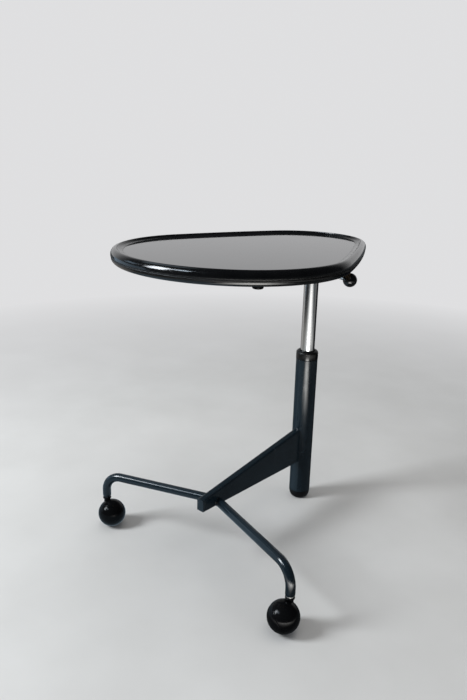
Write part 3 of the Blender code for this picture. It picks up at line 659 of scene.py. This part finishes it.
def swept(tree, curve, section, capped):
    inputs = {"Curve": curve, "Profile Curve": section, "Fill Caps": capped}
    return add_node(tree, "GeometryNodeCurveToMesh", inputs)


def ring_curve(tree, radius, sides):
    return add_node(tree, "GeometryNodeCurvePrimitiveCircle", {"Radius": radius, "Resolution": sides})


def shape_of(tree, thing):
    return add_node(tree, "GeometryNodeObjectInfo", {"Object": thing}).outputs["Geometry"]


def edging_tree():
    """Sweeps a flat section round a level outline: the section's X points outwards and its Y downwards."""
    tree, given = start_tree("edging", {"Section": "Object"})
    level = add_node(tree, "GeometryNodeSetCurveNormal", {"Curve": given["Geometry"]}, mode="Z_UP")
    return close_tree(tree, given, swept(tree, level, shape_of(tree, given["Section"]), False))


def bent_tube_tree():
    """Bends a round bar along a path of straight runs, with a fillet at each corner."""
    kinds = {"Tube radius": "Float", "Bend radius": "Float", "Bend steps": "Int", "Sides": "Int"}
    tree, given = start_tree("bent_tube", kinds)
    inputs = {"Curve": given["Geometry"], "Radius": given["Bend radius"], "Count": given["Bend steps"]}
    bend = add_node(tree, "GeometryNodeFilletCurve", {**inputs, "Limit Radius": True}, mode="POLY")
    ring = ring_curve(tree, given["Tube radius"], given["Sides"])
    return close_tree(tree, given, swept(tree, bend, ring, True))


def weld_bead_tree():
    """Lays a rippled bead along a path."""
    kinds = {"Bead radius": "Float", "Ripple height": "Float", "Ripple scale": "Float", "Spacing": "Float"}
    tree, given = start_tree("weld_bead", kinds)
    inputs = {"Curve": given["Geometry"], "Length": given["Spacing"]}
    even = add_node(tree, "GeometryNodeResampleCurve", inputs, mode="LENGTH")
    bead = swept(tree, even, ring_curve(tree, given["Bead radius"], WELD_SIDES), True)
    inputs = {"Scale": given["Ripple scale"], "W": WELD_RIPPLE_SEED}
    noise = add_node(tree, "ShaderNodeTexNoise", inputs, noise_dimensions="4D")
    amount = product_of(tree, calculate(tree, "SUBTRACT", noise, 0.5), given["Ripple height"])
    inputs = {0: add_node(tree, "GeometryNodeInputNormal"), "Scale": amount}
    push = add_node(tree, "ShaderNodeVectorMath", inputs, operation="SCALE")
    ripple = add_node(tree, "GeometryNodeSetPosition", {"Geometry": bead, "Offset": push})
    return close_tree(tree, given, ripple)


def fastener_ring_tree():
    """Sets copies of one fastener round a circle, half a step from the X axis."""
    kinds = {"Fastener": "Object", "Count": "Int", "Circle radius": "Float", "Centre": "Vector"}
    tree, given = start_tree("fastener_ring", kinds)
    inputs = {"Vertices": given["Count"], "Radius": given["Circle radius"]}
    circle = add_node(tree, "GeometryNodeMeshCircle", inputs)
    half_step = calculate(tree, "DIVIDE", math.pi, given["Count"])
    turn = add_node(tree, "ShaderNodeCombineXYZ", {"Z": half_step})
    inputs = {"Geometry": circle, "Rotation": turn, "Translation": given["Centre"]}
    place = add_node(tree, "GeometryNodeTransform", inputs)
    inputs = {"Points": place, "Instance": shape_of(tree, given["Fastener"])}
    return close_tree(tree, given, add_node(tree, "GeometryNodeInstanceOnPoints", inputs))


# Column and base


def make_column():
    low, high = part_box("column_tube")
    outer = high.x
    bore = outer - COLUMN_WALL
    fit = bore - SEAT_GAP
    tube = [(bore, low.z), (outer, low.z, COLUMN_EDGE), (outer, high.z, COLUMN_EDGE), (bore, high.z)]
    add_turned("column", rounded(tube), "column_tube")

    foot_height = low.z - SEAT_GAP
    foot = [(0, 0)]
    for a in angles(0.0, math.pi / 2, 3 * ROUND_STEPS):
        run = (outer - FOOT_FLAT_RADIUS) * math.sin(a)
        foot.append((FOOT_FLAT_RADIUS + run, foot_height * (1 - math.cos(a))))
    spigot_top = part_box("foot_cap")[1].z
    foot += [(fit, foot_height), (fit, spigot_top), (0, spigot_top)]
    add_turned("foot", foot, "foot_cap")

    sleeve_low, collar_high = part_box("guide_collar")
    seat = high.z + SEAT_GAP
    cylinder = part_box("gas_cylinder")[1].x + SEAT_GAP
    crest = collar_high.x - COLLAR_ROUND
    collar = [(cylinder, collar_high.z - COLLAR_DISH), (crest, collar_high.z, COLLAR_CREST_ROUND)]
    for degrees in COLLAR_ROUND_DEGREES:
        a = math.radians(degrees)
        drop = COLLAR_ROUND * (1 - math.cos(a))
        collar.append((crest + COLLAR_ROUND * math.sin(a), collar_high.z - drop))
    collar.append((collar_high.x, seat, COLLAR_FOOT_ROUND))
    collar += [(fit, seat), (fit, sleeve_low.z), (cylinder, sleeve_low.z)]
    add_turned("collar", rounded(collar), "guide_collar")
    dust_from = collar_high.z - COLLAR_ROUND
    dull_between(finishes[slot_of["guide_collar"]], dust_from, collar_high.z + DUST_EDGE)


def make_cylinder():
    low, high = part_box("gas_cylinder")
    outer = high.x
    bore = outer - CYLINDER_WALL
    roof = high.z - CYLINDER_ROOF
    tube = [(0, high.z), (outer, high.z, CYLINDER_EDGE), (outer, low.z, CYLINDER_EDGE)]
    tube += [(bore, low.z), (bore, roof), (0, roof)]
    add_turned("spring_cylinder", rounded(tube), "gas_cylinder")


def soften_end(mesh, height):
    """Rounds the rim of a tube's lower end, which lies level at the given height."""
    bm = bmesh.new()
    bm.from_mesh(mesh)
    level = []
    for edge in bm.edges:
        if all(abs(vert.co.z - height) < LEVEL_TOLERANCE for vert in edge.verts):
            level.append(edge)
    outer = [edge for edge in level if any(abs(face.normal.z) < 0.5 for face in edge.link_faces)]
    settings = {"offset": LEG_END_ROUND, "segments": LEG_END_STEPS, "profile": 0.5}
    bmesh.ops.bevel(bm, geom=outer, affect="EDGES", **settings)
    bm.to_mesh(mesh)
    bm.free()


def leg_run(side):
    """Where both legs' axes meet, where this leg's axis turns down, and the direction between them."""
    stem = Vector(joints[f"{side}_swivel"]["pos_m"])
    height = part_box(f"{side}_leg")[1].z - LEG_RADIUS
    apex = Vector((0, -LEG_JOINT_REACH, height))
    corner = Vector((stem.x, stem.y, height))
    return apex, corner, (corner - apex).normalized()


def make_legs():
    tree = bent_tube_tree()
    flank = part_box("beam")[1].x
    inputs = {"Tube radius": LEG_RADIUS, "Bend radius": LEG_BEND_RADIUS, "Bend steps": LEG_BEND_STEPS}
    inputs.update({"Sides": LEG_SIDES, "Finish": finishes["blue_grey_paint"]})
    for side in SIDES:
        node = f"{side}_leg"
        apex, corner, along = leg_run(side)
        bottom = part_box(node)[0].z
        start_x = math.copysign(flank, corner.x)
        start = apex + along * (start_x / along.x)
        path = path_curve(node, [start, corner, Vector((corner.x, corner.y, bottom))], False)
        mesh = grown(path, tree, inputs)
        # The inner end is cut flush with the beam's flank
        for vert in mesh.vertices:
            away = vert.co - start
            if away.length < 2 * LEG_RADIUS and away.dot(along) < LEG_CUT_REACH:
                vert.co = vert.co + along * ((start_x - vert.co.x) / along.x)
        soften_end(mesh, bottom)
        add_piece(f"{side}_leg_tube", mesh, node)


def make_beam():
    """A folded channel, deep at the column and shallow at its closed tip, coped to the column."""
    leg_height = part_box("left_leg")[1].z - LEG_RADIUS
    tip_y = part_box("beam")[0].y
    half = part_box("beam")[1].x

    def section(y, inset=0.0, fold=BEAM_EDGE_ROUND, lip=BEAM_LIP_ROUND, drop=0.0):
        share = y / tip_y
        low = leg_height - BEAM_ROOT_DROP + share * (BEAM_ROOT_DROP - BEAM_TIP_DROP) - drop
        root_high = leg_height - BEAM_ROOT_DROP + BEAM_ROOT_HEIGHT
        tip_high = leg_height - BEAM_TIP_DROP + BEAM_TIP_HEIGHT
        high = root_high + share * (tip_high - root_high) - inset
        side = half - inset
        corners = [(-side, low, lip), (-side, high, fold), (side, high, fold), (side, low, lip)]
        return [Vector((p.x, y, p.y)) for p in rounded(corners, closed=True)]

    soft = BEAM_LIP_ROUND
    outer = [section(0.0), section(tip_y + 2 * soft), section(tip_y + soft)]
    outer += [section(tip_y + soft * ROUND_MIDDLE, soft * ROUND_MIDDLE), section(tip_y, soft)]
    beam = mesh_from(lofted(outer), "beam_channel")
    # The hollow goes below the lips and past the column, so the channel is open there
    inner = {"inset": BEAM_SHEET, "fold": BEAM_EDGE_ROUND - BEAM_SHEET, "lip": 0.0, "drop": half}
    hollow = [section(-tip_y, **inner), section(tip_y + BEAM_SHEET, **inner)]
    beam = joined(beam, mesh_from(lofted(hollow), "beam_hollow"), "DIFFERENCE")
    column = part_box("column_tube")[1]
    radius = column.x + SEAT_GAP
    cope = turned([(0, 0), (radius, 0), (radius, column.z), (0, column.z)])
    beam = joined(beam, mesh_from(cope, "beam_cope"), "DIFFERENCE")
    add_piece("beam_channel", beam, "beam")


def half_ball():
    """Half a caster's ball as (radius, height) points, from its pole to the flat face beside the seam."""
    face = BALL_SEAM / 2
    edge_angle = math.acos((face + SEAM_ROUND) / BALL_RADIUS)
    half = [(0, BALL_RADIUS)]
    for a in angles(0.0, edge_angle, 8 * ROUND_STEPS)[1:]:
        half.append((BALL_RADIUS * math.sin(a), BALL_RADIUS * math.cos(a)))
    rim = half[-1][0]
    half.append((rim - SEAM_ROUND * ROUND_MIDDLE, face + SEAM_ROUND * ROUND_MIDDLE))
    return half + [(rim - SEAM_ROUND, face), (0, face)]


def make_rings_and_casters():
    half = half_ball()
    for side in SIDES:
        stem = Vector(joints[f"{side}_swivel"]["pos_m"])
        at_stem = Matrix.Translation((stem.x, stem.y, 0))
        low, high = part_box(f"{side}_socket")
        outer = (high.x - low.x) / 2
        ring = [(RING_BORE, high.z), (outer, high.z, RING_TOP_ROUND)]
        ring += [(outer, low.z, RING_LOW_ROUND), (RING_BORE, low.z)]
        piece = add_turned(f"{side}_socket_ring", rounded(ring), f"{side}_socket", at_stem)
        # The left ring is drawn in black plastic, darker than the pale right ring
        if side == "left":
            piece.data.materials[0] = finishes["satin_black_plastic"]

        centre = Vector(joints[f"{side}_roll"]["pos_m"])
        axis = Vector(joints[f"{side}_roll"]["axis"])
        roll = Matrix.Translation(centre) @ axis.to_track_quat("Z", "Y").to_matrix().to_4x4()
        add_turned(f"{side}_ball", half, f"{side}_wheel", roll)

        dome = mesh_from(turned(half), f"{side}_hood_dome", roll @ Matrix.Rotation(math.pi, 4, "X"))
        top = low.z - SEAT_GAP
        bottom = top - HOOD_FLANGE_HEIGHT
        neck_end = bottom - HOOD_NECK_DEPTH
        neck = [(0, top)]
        neck += [(HOOD_FLANGE_RADIUS, height, HOOD_FLANGE_ROUND) for height in (top, bottom)]
        neck += [(HOOD_NECK_RADIUS, bottom, HOOD_NECK_ROUND), (HOOD_NECK_RADIUS, neck_end), (0, neck_end)]
        neck = mesh_from(turned(rounded(neck)), f"{side}_hood_neck", at_stem)
        add_piece(f"{side}_hood_shell", joined(dome, neck, "UNION"), f"{side}_hood")


def make_welds():
    """Painted beads where the beam meets the column and where each leg meets the beam."""
    low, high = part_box("beam")
    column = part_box("column_tube")[1].x
    flank = high.x
    rise = [(flank, low.z + WELD_LOW_END)]
    for a in angles(0.0, math.pi / 2, WELD_FOLD_STEPS):
        out = flank - BEAM_EDGE_ROUND + BEAM_EDGE_ROUND * math.cos(a)
        rise.append((out, high.z - BEAM_EDGE_ROUND + BEAM_EDGE_ROUND * math.sin(a)))
    rise.append((0.0, high.z))
    right = [Vector((x, -math.sqrt(column**2 - x**2), z)) for x, z in rise]
    left = [Vector((-p.x, p.y, p.z)) for p in reversed(right[:-1])]
    paths = [("column_weld", right + left, False, "beam")]
    for side in SIDES:
        apex, corner, along = leg_run(side)
        level = along.cross(UP)
        flank_x = math.copysign(flank, corner.x)
        loop = []
        for a in full_turn(LEG_SIDES):
            point = apex + LEG_RADIUS * (math.cos(a) * level + math.sin(a) * UP)
            loop.append(point + along * ((flank_x - point.x) / along.x))
        paths.append((f"{side}_leg_weld", loop, True, f"{side}_leg"))
    tree = weld_bead_tree()
    inputs = {"Bead radius": WELD_RADIUS, "Ripple height": WELD_RADIUS * WELD_RIPPLE}
    inputs.update({"Ripple scale": WELD_RIPPLE_SCALE, "Spacing": WELD_SPACING})
    inputs["Finish"] = finishes["blue_grey_paint"]
    for name, points, closed, node in paths:
        mesh = grown(path_curve(name, points, closed), tree, inputs)
        mesh.shade_smooth()
        bead = add_object(name, mesh)
        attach(bead, body_of[node])


# Top


def crest_arcs():
    """Centre, radius, start and end of each arc of the crest on the +X side.

    The angles are those of the outward normal, from +Y.
    """
    arcs = []
    centre = Vector((0, TAIL_REACH - TAIL_RADIUS))
    angle = 0.0
    sizes = [(TAIL_RADIUS, TAIL_TURN), (SIDE_RADIUS, SIDE_TURN), (SHOULDER_RADIUS, SHOULDER_TURN)]
    for k, (radius, turn) in enumerate(sizes):
        arcs.append((centre, radius, angle, angle + turn))
        angle += turn
        outward = Vector((math.sin(angle), math.cos(angle)))
        after = sizes[k + 1][0] if k + 1 < len(sizes) else radius + centre.x / outward.x
        centre = centre + (radius - after) * outward
    arcs.append((centre, after, angle, math.pi))
    return arcs


def top_outline(offset, height):
    """The top's outline, offset outwards from the crest, anticlockwise seen from above."""
    half = []
    for centre, radius, start, end in crest_arcs():
        steps = max(LEAST_ARC_STEPS, round(radius * (end - start) / OUTLINE_SPACING))
        reach = radius + offset
        for a in angles(start, end, steps)[:-1]:
            half.append((centre.x + reach * math.sin(a), centre.y + reach * math.cos(a)))
    front = (0.0, centre.y - radius - offset)
    mirrored = [(-x, y) for x, y in half[1:]]
    loop = [half[0]] + mirrored + [front] + list(reversed(half[1:]))
    return [Vector((x, y, height)) for x, y in loop]


def rim_section(bottom, panel_top, crest):
    """The rim's section as (outwards, height) points, once round."""
    section = []
    for a in angles(RIM_SHOULDER_START, math.pi / 2, 4 * ROUND_STEPS):
        run = math.sin(a) ** (2 / RIM_SHOULDER_POWER)
        drop = 1 - math.cos(a) ** (2 / RIM_SHOULDER_POWER)
        section.append((RIM_OVERHANG * run, crest - RIM_SHOULDER_DROP * drop))
    bead_top = bottom + BEAD_HEIGHT
    groove_top = bead_top + GROOVE_WIDTH
    bead = RIM_OVERHANG - BEAD_SETBACK
    groove = RIM_OVERHANG - GROOVE_DEPTH
    lower = [(RIM_OVERHANG, crest - RIM_SHOULDER_DROP), (RIM_OVERHANG, groove_top, GROOVE_LIP_ROUND)]
    lower += [(groove, groove_top, GROOVE_FLOOR_ROUND), (groove, bead_top, BEAD_FOOT_ROUND)]
    lower += [(bead, bead_top, BEAD_ROUND), (bead, bottom + RIM_BOTTOM_ROUND)]
    section += [tuple(p) for p in rounded(lower)[1:]]
    toe = RIM_OVERHANG - RIM_UNDERCUT
    for a in angles(0.0, math.pi / 2, 2 * ROUND_STEPS)[1:]:
        section.append((toe + (bead - toe) * math.cos(a), bottom + RIM_BOTTOM_ROUND * (1 - math.sin(a))))
    section += [(-LIP_RUN, bottom), (-LIP_RUN, panel_top)]
    lip = crest - panel_top
    for a in angles(0.0, LIP_TURN, 3 * ROUND_STEPS)[1:]:
        section.append((-LIP_RUN * (1 - math.sin(a)), panel_top + lip * (1 - math.cos(a))))
    # A small round joins the inner sweep to the outer one along the crest
    section += [(CREST_ROUND * out, crest - CREST_ROUND * down) for out, down in CREST_JOIN]
    return section


def make_top():
    rim_low, rim_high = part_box("rim")
    panel_low, panel_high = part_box("panel")
    board_low, board_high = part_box("board")
    finish = finishes["rim_black_plastic"]
    bead_top = rim_low.z + BEAD_HEIGHT
    groove_top = bead_top + GROOVE_WIDTH
    dull_between(finish, bead_top - GROOVE_DUST_REACH, groove_top + GROOVE_DUST_REACH)
    section = rim_section(rim_low.z, panel_high.z, rim_high.z)
    profile = path_curve("rim_section", [(out, -height, 0) for out, height in section], True)
    outline = path_curve("rim_outline", top_outline(0.0, 0.0), True)
    mesh = grown(outline, edging_tree(), {"Section": profile, "Finish": finish})
    bpy.data.objects.remove(profile, do_unlink=True)
    add_piece("rim_edging", mesh, "rim")

    edge = -LIP_RUN - PANEL_PLAY
    middle = PANEL_EDGE * ROUND_MIDDLE
    levels = [(edge, panel_low.z), (edge, panel_high.z - PANEL_EDGE)]
    levels += [(edge - middle, panel_high.z - middle)]
    levels += [(edge - PANEL_EDGE, panel_high.z), (edge - 2 * PANEL_EDGE, panel_high.z)]
    panel = lofted([top_outline(*level) for level in levels])
    add_piece("panel_sheet", mesh_from(panel, "panel_sheet"), "panel")
    board = lofted([top_outline(edge, board_low.z), top_outline(edge, board_high.z)])
    add_piece("core_board", mesh_from(board, "core_board"), "board")


def make_arm():
    low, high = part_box("arm")

    def section(y, inset, radius):
        left, right = low.x + inset, high.x - inset
        bottom, top = low.z + inset, high.z - inset
        corners = [(left, bottom), (right, bottom), (right, top), (left, top)]
        corners = [(x, z, radius) for x, z in corners]
        return [Vector((p.x, y, p.y)) for p in rounded(corners, closed=True)]

    rim = (ARM_EDGE, ARM_CORNER - ARM_EDGE)
    bore = (ARM_WALL, ARM_CORNER - ARM_WALL)
    loops = [section(high.y, *rim)]
    loops += [section(y, 0.0, ARM_CORNER) for y in (high.y - ARM_EDGE, low.y + ARM_EDGE)]
    loops += [section(low.y, *rim), section(low.y, *bore), section(high.y, *bore)]
    add_piece("arm_tube", mesh_from(lofted(loops, capped=False), "arm_tube"), "arm")


def pan_head_screw(low, high):
    """A screw on the Z axis between two heights, with a cross recess in its head."""
    seat = low + SCREW_HEAD_HEIGHT
    screw = [(0, high), (SCREW_SHANK_RADIUS, high, SCREW_TIP_ROUND), (SCREW_SHANK_RADIUS, seat)]
    screw += [(SCREW_HEAD_RADIUS, seat, SCREW_SEAT_ROUND), (SCREW_HEAD_RADIUS, low, SCREW_DOME_ROUND)]
    screw.append((0, low))
    fastener = mesh_from(turned(rounded(screw), SCREW_SIDES), "screw")
    for turn in (0.0, math.pi / 2):
        slot = bmesh.new()
        bmesh.ops.create_cube(slot, size=1.0)
        shape = Matrix.Diagonal((*SCREW_RECESS, 1.0))
        place = Matrix.Translation((0, 0, low)) @ Matrix.Rotation(turn, 4, "Z") @ shape
        fastener = joined(fastener, mesh_from(slot, "recess", place), "DIFFERENCE")
    return fastener


def make_under_top():
    make_arm()
    for node, width in BROKEN_EDGES.items():
        add_piece(f"{node}_body", softened_copy(node, width), node)

    low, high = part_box("pivot_cap")
    centre = (low + high) / 2
    radius = (high.x - low.x) / 2
    cap = [(0, high.z), (radius, high.z, CAP_TOP_ROUND), (radius, low.z, CAP_LOW_ROUND), (0, low.z)]
    place = Matrix.Translation((centre.x, centre.y, 0))
    add_turned("hanging_cap", rounded(cap), "pivot_cap", place)

    low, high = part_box("top_screw_1")
    sample = add_object("screw_sample", pan_head_screw(low.z, high.z))
    pivot = joints["top_turn"]["pos_m"]
    ring = add_object("screw_ring", bpy.data.meshes.new("screw_ring"))
    inputs = {"Fastener": sample, "Count": SCREW_COUNT, "Circle radius": SCREW_CIRCLE_RADIUS}
    inputs.update({"Centre": (pivot[0], pivot[1], 0.0), "Finish": finishes["zinc_steel"]})
    mesh = grown(ring, fastener_ring_tree(), inputs)
    bpy.data.objects.remove(sample, do_unlink=True)
    add_piece("plate_screws", mesh, *[f"top_screw_{k + 1}" for k in range(SCREW_COUNT)])


def make_lever():
    """The rod along the lever's own X, and a ball with a small flat where the rod goes in."""
    height = joints["lever_lift"]["pos_m"][2]
    lay = Matrix.Translation((0, 0, height)) @ Matrix.Rotation(LEVER_ANGLE, 4, "Z")
    lay = lay @ Matrix.Rotation(math.pi / 2, 4, "Y")
    low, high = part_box("lever_rod")
    radius = (high.z - low.z) / 2
    rod_end = KNOB_REACH + KNOB_RADIUS * ROD_PAST_KNOB_MIDDLE
    rod = [(0, -LEVER_TIP), (radius, -LEVER_TIP, LEVER_TIP_ROUND)]
    rod += [(radius, rod_end, LEVER_END_ROUND), (0, rod_end)]
    add_turned("lever_bar", rounded(rod), "lever_rod", lay, LEVER_SIDES)
    face_angle = math.pi - math.asin(KNOB_FLAT_RADIUS / KNOB_RADIUS)
    knob = [(0, KNOB_REACH + KNOB_RADIUS)]
    for a in angles(0.0, face_angle, 8 * ROUND_STEPS)[1:]:
        knob.append((KNOB_RADIUS * math.sin(a), KNOB_REACH + KNOB_RADIUS * math.cos(a)))
    knob.append((0, knob[-1][1]))
    ball = add_turned("lever_ball", knob, "lever_knob", lay, KNOB_SIDES)
    ball.data.materials[0] = finishes["knob_black_plastic"]


# Stage, light and camera


def floor_bearings(tree, place):
    """A floor point's distance from the column, and its place toward the camera and to the right."""
    kind = "ShaderNodeVectorMath"
    reach = calculate(tree, "LENGTH", place, kind=kind)
    forward = calculate(tree, "DOT_PRODUCT", place, TOWARD_CAMERA, kind=kind)
    sideways = calculate(tree, "DOT_PRODUCT", place, CAMERA_RIGHT, kind=kind)
    return reach, forward, sideways


def floor_tone(tree, reach, forward, sideways):
    """The dim colours in which gloss sees the floor, by level angle and distance."""
    angle = calculate(tree, "ARCTAN2", sideways, forward)
    edge = math.radians(TONE_EDGE_DEGREES)
    colour = FLOOR_IN_GLOSS
    for start, end, near, far, tone in FLOOR_TONES:
        sector = between(tree, angle, math.radians(start), math.radians(end), edge)
        share = product_of(tree, sector, between(tree, reach, near, far, TONE_EDGE_REACH))
        colour = blend_colours(tree, share, colour, tone)
    return colour


def sunlit_strength(tree, reach, forward, sideways):
    """How brightly gloss sees the floor's sunlit patch, by the distance from the column and sideways."""
    middle = spread(tree, reach, *PATCH_MIDDLES, *PATCH_CHANGE)
    width = spread(tree, reach, *PATCH_WIDTHS, *PATCH_CHANGE)
    apart = calculate(tree, "ABSOLUTE", calculate(tree, "SUBTRACT", sideways, middle))
    across = spread(tree, calculate(tree, "DIVIDE", apart, width), 1.0, 0.0, *PATCH_SIDES)
    strength = spread(tree, reach, *PATCH_STRENGTHS, *PATCH_CHANGE)
    start = spread(tree, reach, 0.0, 1.0, *PATCH_NEAR)
    end = spread(tree, reach, 1.0, 0.0, *PATCH_FAR)
    before = spread(tree, forward, 0.0, 1.0, *PATCH_FRONT)
    return product_of(tree, across, strength, start, end, before)


def glow(tree, inputs):
    return add_node(tree, "ShaderNodeEmission", inputs)


def make_stage():
    """A plain pale floor that fades into a plain pale surround."""
    r = FLOOR_REACH
    mesh = bpy.data.meshes.new("floor")
    mesh.from_pydata([(-r, -r, 0), (r, -r, 0), (r, r, 0), (-r, r, 0)], [], [(0, 1, 2, 3)])
    floor = add_object("floor", mesh)
    material, tree, shader = start_material("pale_floor")
    tone = spread(tree, grain(tree, *FLOOR_GRAIN), 0.0, 1.0, *WIDE_MIDDLE)
    colour = blend_colours(tree, tone, *FLOOR_COLOURS)
    inputs = {"Base Color": colour, "Roughness": FLOOR_ROUGHNESS, "Specular IOR Level": 0.0}
    fill_inputs(tree, shader, inputs)
    rays = add_node(tree, "ShaderNodeLightPath").outputs
    bearings = floor_bearings(tree, object_place(tree))
    # Far from the table, the camera sees the floor in the surround's own colour
    far_off = spread(tree, bearings[0], 0.0, 1.0, *FLOOR_FADE)
    share = product_of(tree, far_off, rays["Is Camera Ray"])
    plain = mix_shaders(tree, share, shader, glow(tree, {"Color": (*SURROUND_COLOUR, 1.0)}))
    # Gloss sees the floor dim, with a sunlit patch before the table
    dim = glow(tree, {"Color": floor_tone(tree, *bearings)})
    sunlit = glow(tree, {"Color": PATCH_COLOUR, "Strength": sunlit_strength(tree, *bearings)})
    in_gloss = add_node(tree, "ShaderNodeAddShader", {0: dim, 1: sunlit})
    surface = mix_shaders(tree, rays["Is Glossy Ray"], plain, in_gloss)
    fill_inputs(tree, tree.nodes["Material Output"], {"Surface": surface})
    mesh.materials.append(material)


def make_surround():
    """A pale surround for the camera; gloss sees it pale behind the table, and dim in front and overhead."""
    world = bpy.data.worlds.new("surround")
    bpy.context.scene.world = world
    world.use_nodes = True
    tree = world.node_tree
    ambient = tree.nodes["Background"]
    fill_inputs(tree, ambient, {"Color": AMBIENT_COLOUR, "Strength": AMBIENT_STRENGTH})
    seen = add_node(tree, "ShaderNodeBackground", {"Color": (*SURROUND_COLOUR, 1.0)})
    direction = add_node(tree, "ShaderNodeTexCoord").outputs["Generated"]
    behind = calculate(tree, "DOT_PRODUCT", direction, -TOWARD_CAMERA, kind="ShaderNodeVectorMath")
    pale = spread(tree, behind, 0.0, 1.0, *GLOSS_BEHIND)
    low = spread(tree, height_of(tree, direction), 1.0, 0.0, *GLOSS_OVERHEAD)
    colour = blend_colours(tree, product_of(tree, pale, low), GLOSS_DIM, SURROUND_COLOUR)
    glossy = add_node(tree, "ShaderNodeBackground", {"Color": colour})
    rays = add_node(tree, "ShaderNodeLightPath").outputs
    by_gloss = calculate(tree, "MAXIMUM", rays["Is Glossy Ray"], rays["Is Transmission Ray"])
    surface = mix_shaders(tree, rays["Is Camera Ray"], mix_shaders(tree, by_gloss, ambient, glossy), seen)
    fill_inputs(tree, tree.nodes["World Output"], {"Surface": surface})


def make_cards():
    """Far upright cards that only gloss sees; they draw the light on the legs, the beam and the rim."""
    for name, distance, start, end, bottom, top, tone in CARDS:
        ends = []
        for a in (math.radians(start), math.radians(end)):
            ends.append(distance * (math.cos(a) * TOWARD_CAMERA + math.sin(a) * CAMERA_RIGHT))
        first, last = ends
        corners = [first + bottom * UP, last + bottom * UP, last + top * UP, first + top * UP]
        mesh = bpy.data.meshes.new(name)
        mesh.from_pydata(corners, [], [(0, 1, 2, 3)])
        material, tree, shader = start_material(name)
        mottle = spread(tree, grain(tree, CARD_GRAIN))
        colour = blend_colours(tree, mottle, tone, [CARD_MOTTLE * value for value in tone])
        inputs = {"Base Color": (0.0, 0.0, 0.0, 1.0), "Roughness": CARD_ROUGHNESS}
        inputs.update({"Specular IOR Level": 0.0, "Emission Color": colour, "Emission Strength": 1.0})
        fill_inputs(tree, shader, inputs)
        mesh.materials.append(material)
        card = add_object(name, mesh)
        for ray in ("camera", "diffuse", "shadow", "transmission"):
            setattr(card, f"visible_{ray}", False)


def make_lights():
    for name, place, width, height, watts, colour, in_gloss in LAMPS:
        data = bpy.data.lights.new(name, "AREA")
        data.shape = "RECTANGLE"
        data.size = width
        data.size_y = height
        data.energy = watts
        data.color = colour
        lamp = add_object(name, data)
        lamp.location = place
        lamp.rotation_euler = (LAMP_AIM - Vector(place)).to_track_quat("-Z", "Y").to_euler()
        lamp.visible_glossy = in_gloss


def make_camera():
    data = bpy.data.cameras.new("camera")
    data.sensor_width = SENSOR
    data.lens = SENSOR * FOCAL_PIXELS / IMAGE_HEIGHT
    data.clip_start = CLIP_START
    camera = add_object("camera", data)
    forward = -math.cos(CAMERA_PITCH) * TOWARD_CAMERA - math.sin(CAMERA_PITCH) * UP
    up = CAMERA_RIGHT.cross(forward)
    rolled_right = math.cos(CAMERA_ROLL) * CAMERA_RIGHT + math.sin(CAMERA_ROLL) * up
    rolled_up = math.cos(CAMERA_ROLL) * up - math.sin(CAMERA_ROLL) * CAMERA_RIGHT
    turn = Matrix((rolled_right, rolled_up, -forward)).transposed()
    camera.matrix_world = Matrix.Translation(CAMERA_PLACE) @ turn.to_4x4()
    bpy.context.scene.camera = camera


def write_sizes():
    """Brings the scene's placements up to date."""
    bpy.context.view_layer.update()


clear_scene()
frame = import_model()
joints = {joint["name"]: joint for joint in frame["joints"]}
slot_of = {part["node"]: part["material_slot"] for part in frame["record"]["subparts"]}
body_of = {}
for body, nodes in frame["record"]["behaviour"]["bodies"].items():
    for node in nodes:
        body_of[node] = body

finishes = {name: make_finish(name, **recipe) for name, recipe in FINISHES.items()}
for node, cad_object in frame["nodes"].items():
    cad_object.data.materials.clear()
    cad_object.data.materials.append(finishes[slot_of[node]])

pieces = (make_column, make_cylinder, make_beam, make_legs, make_welds, make_rings_and_casters)
pieces += (make_top, make_under_top, make_lever)
for make in pieces + (make_stage, make_surround, make_cards, make_lights, make_camera):
    make()
bpy.context.scene.view_settings.view_transform = "Standard"
write_sizes()
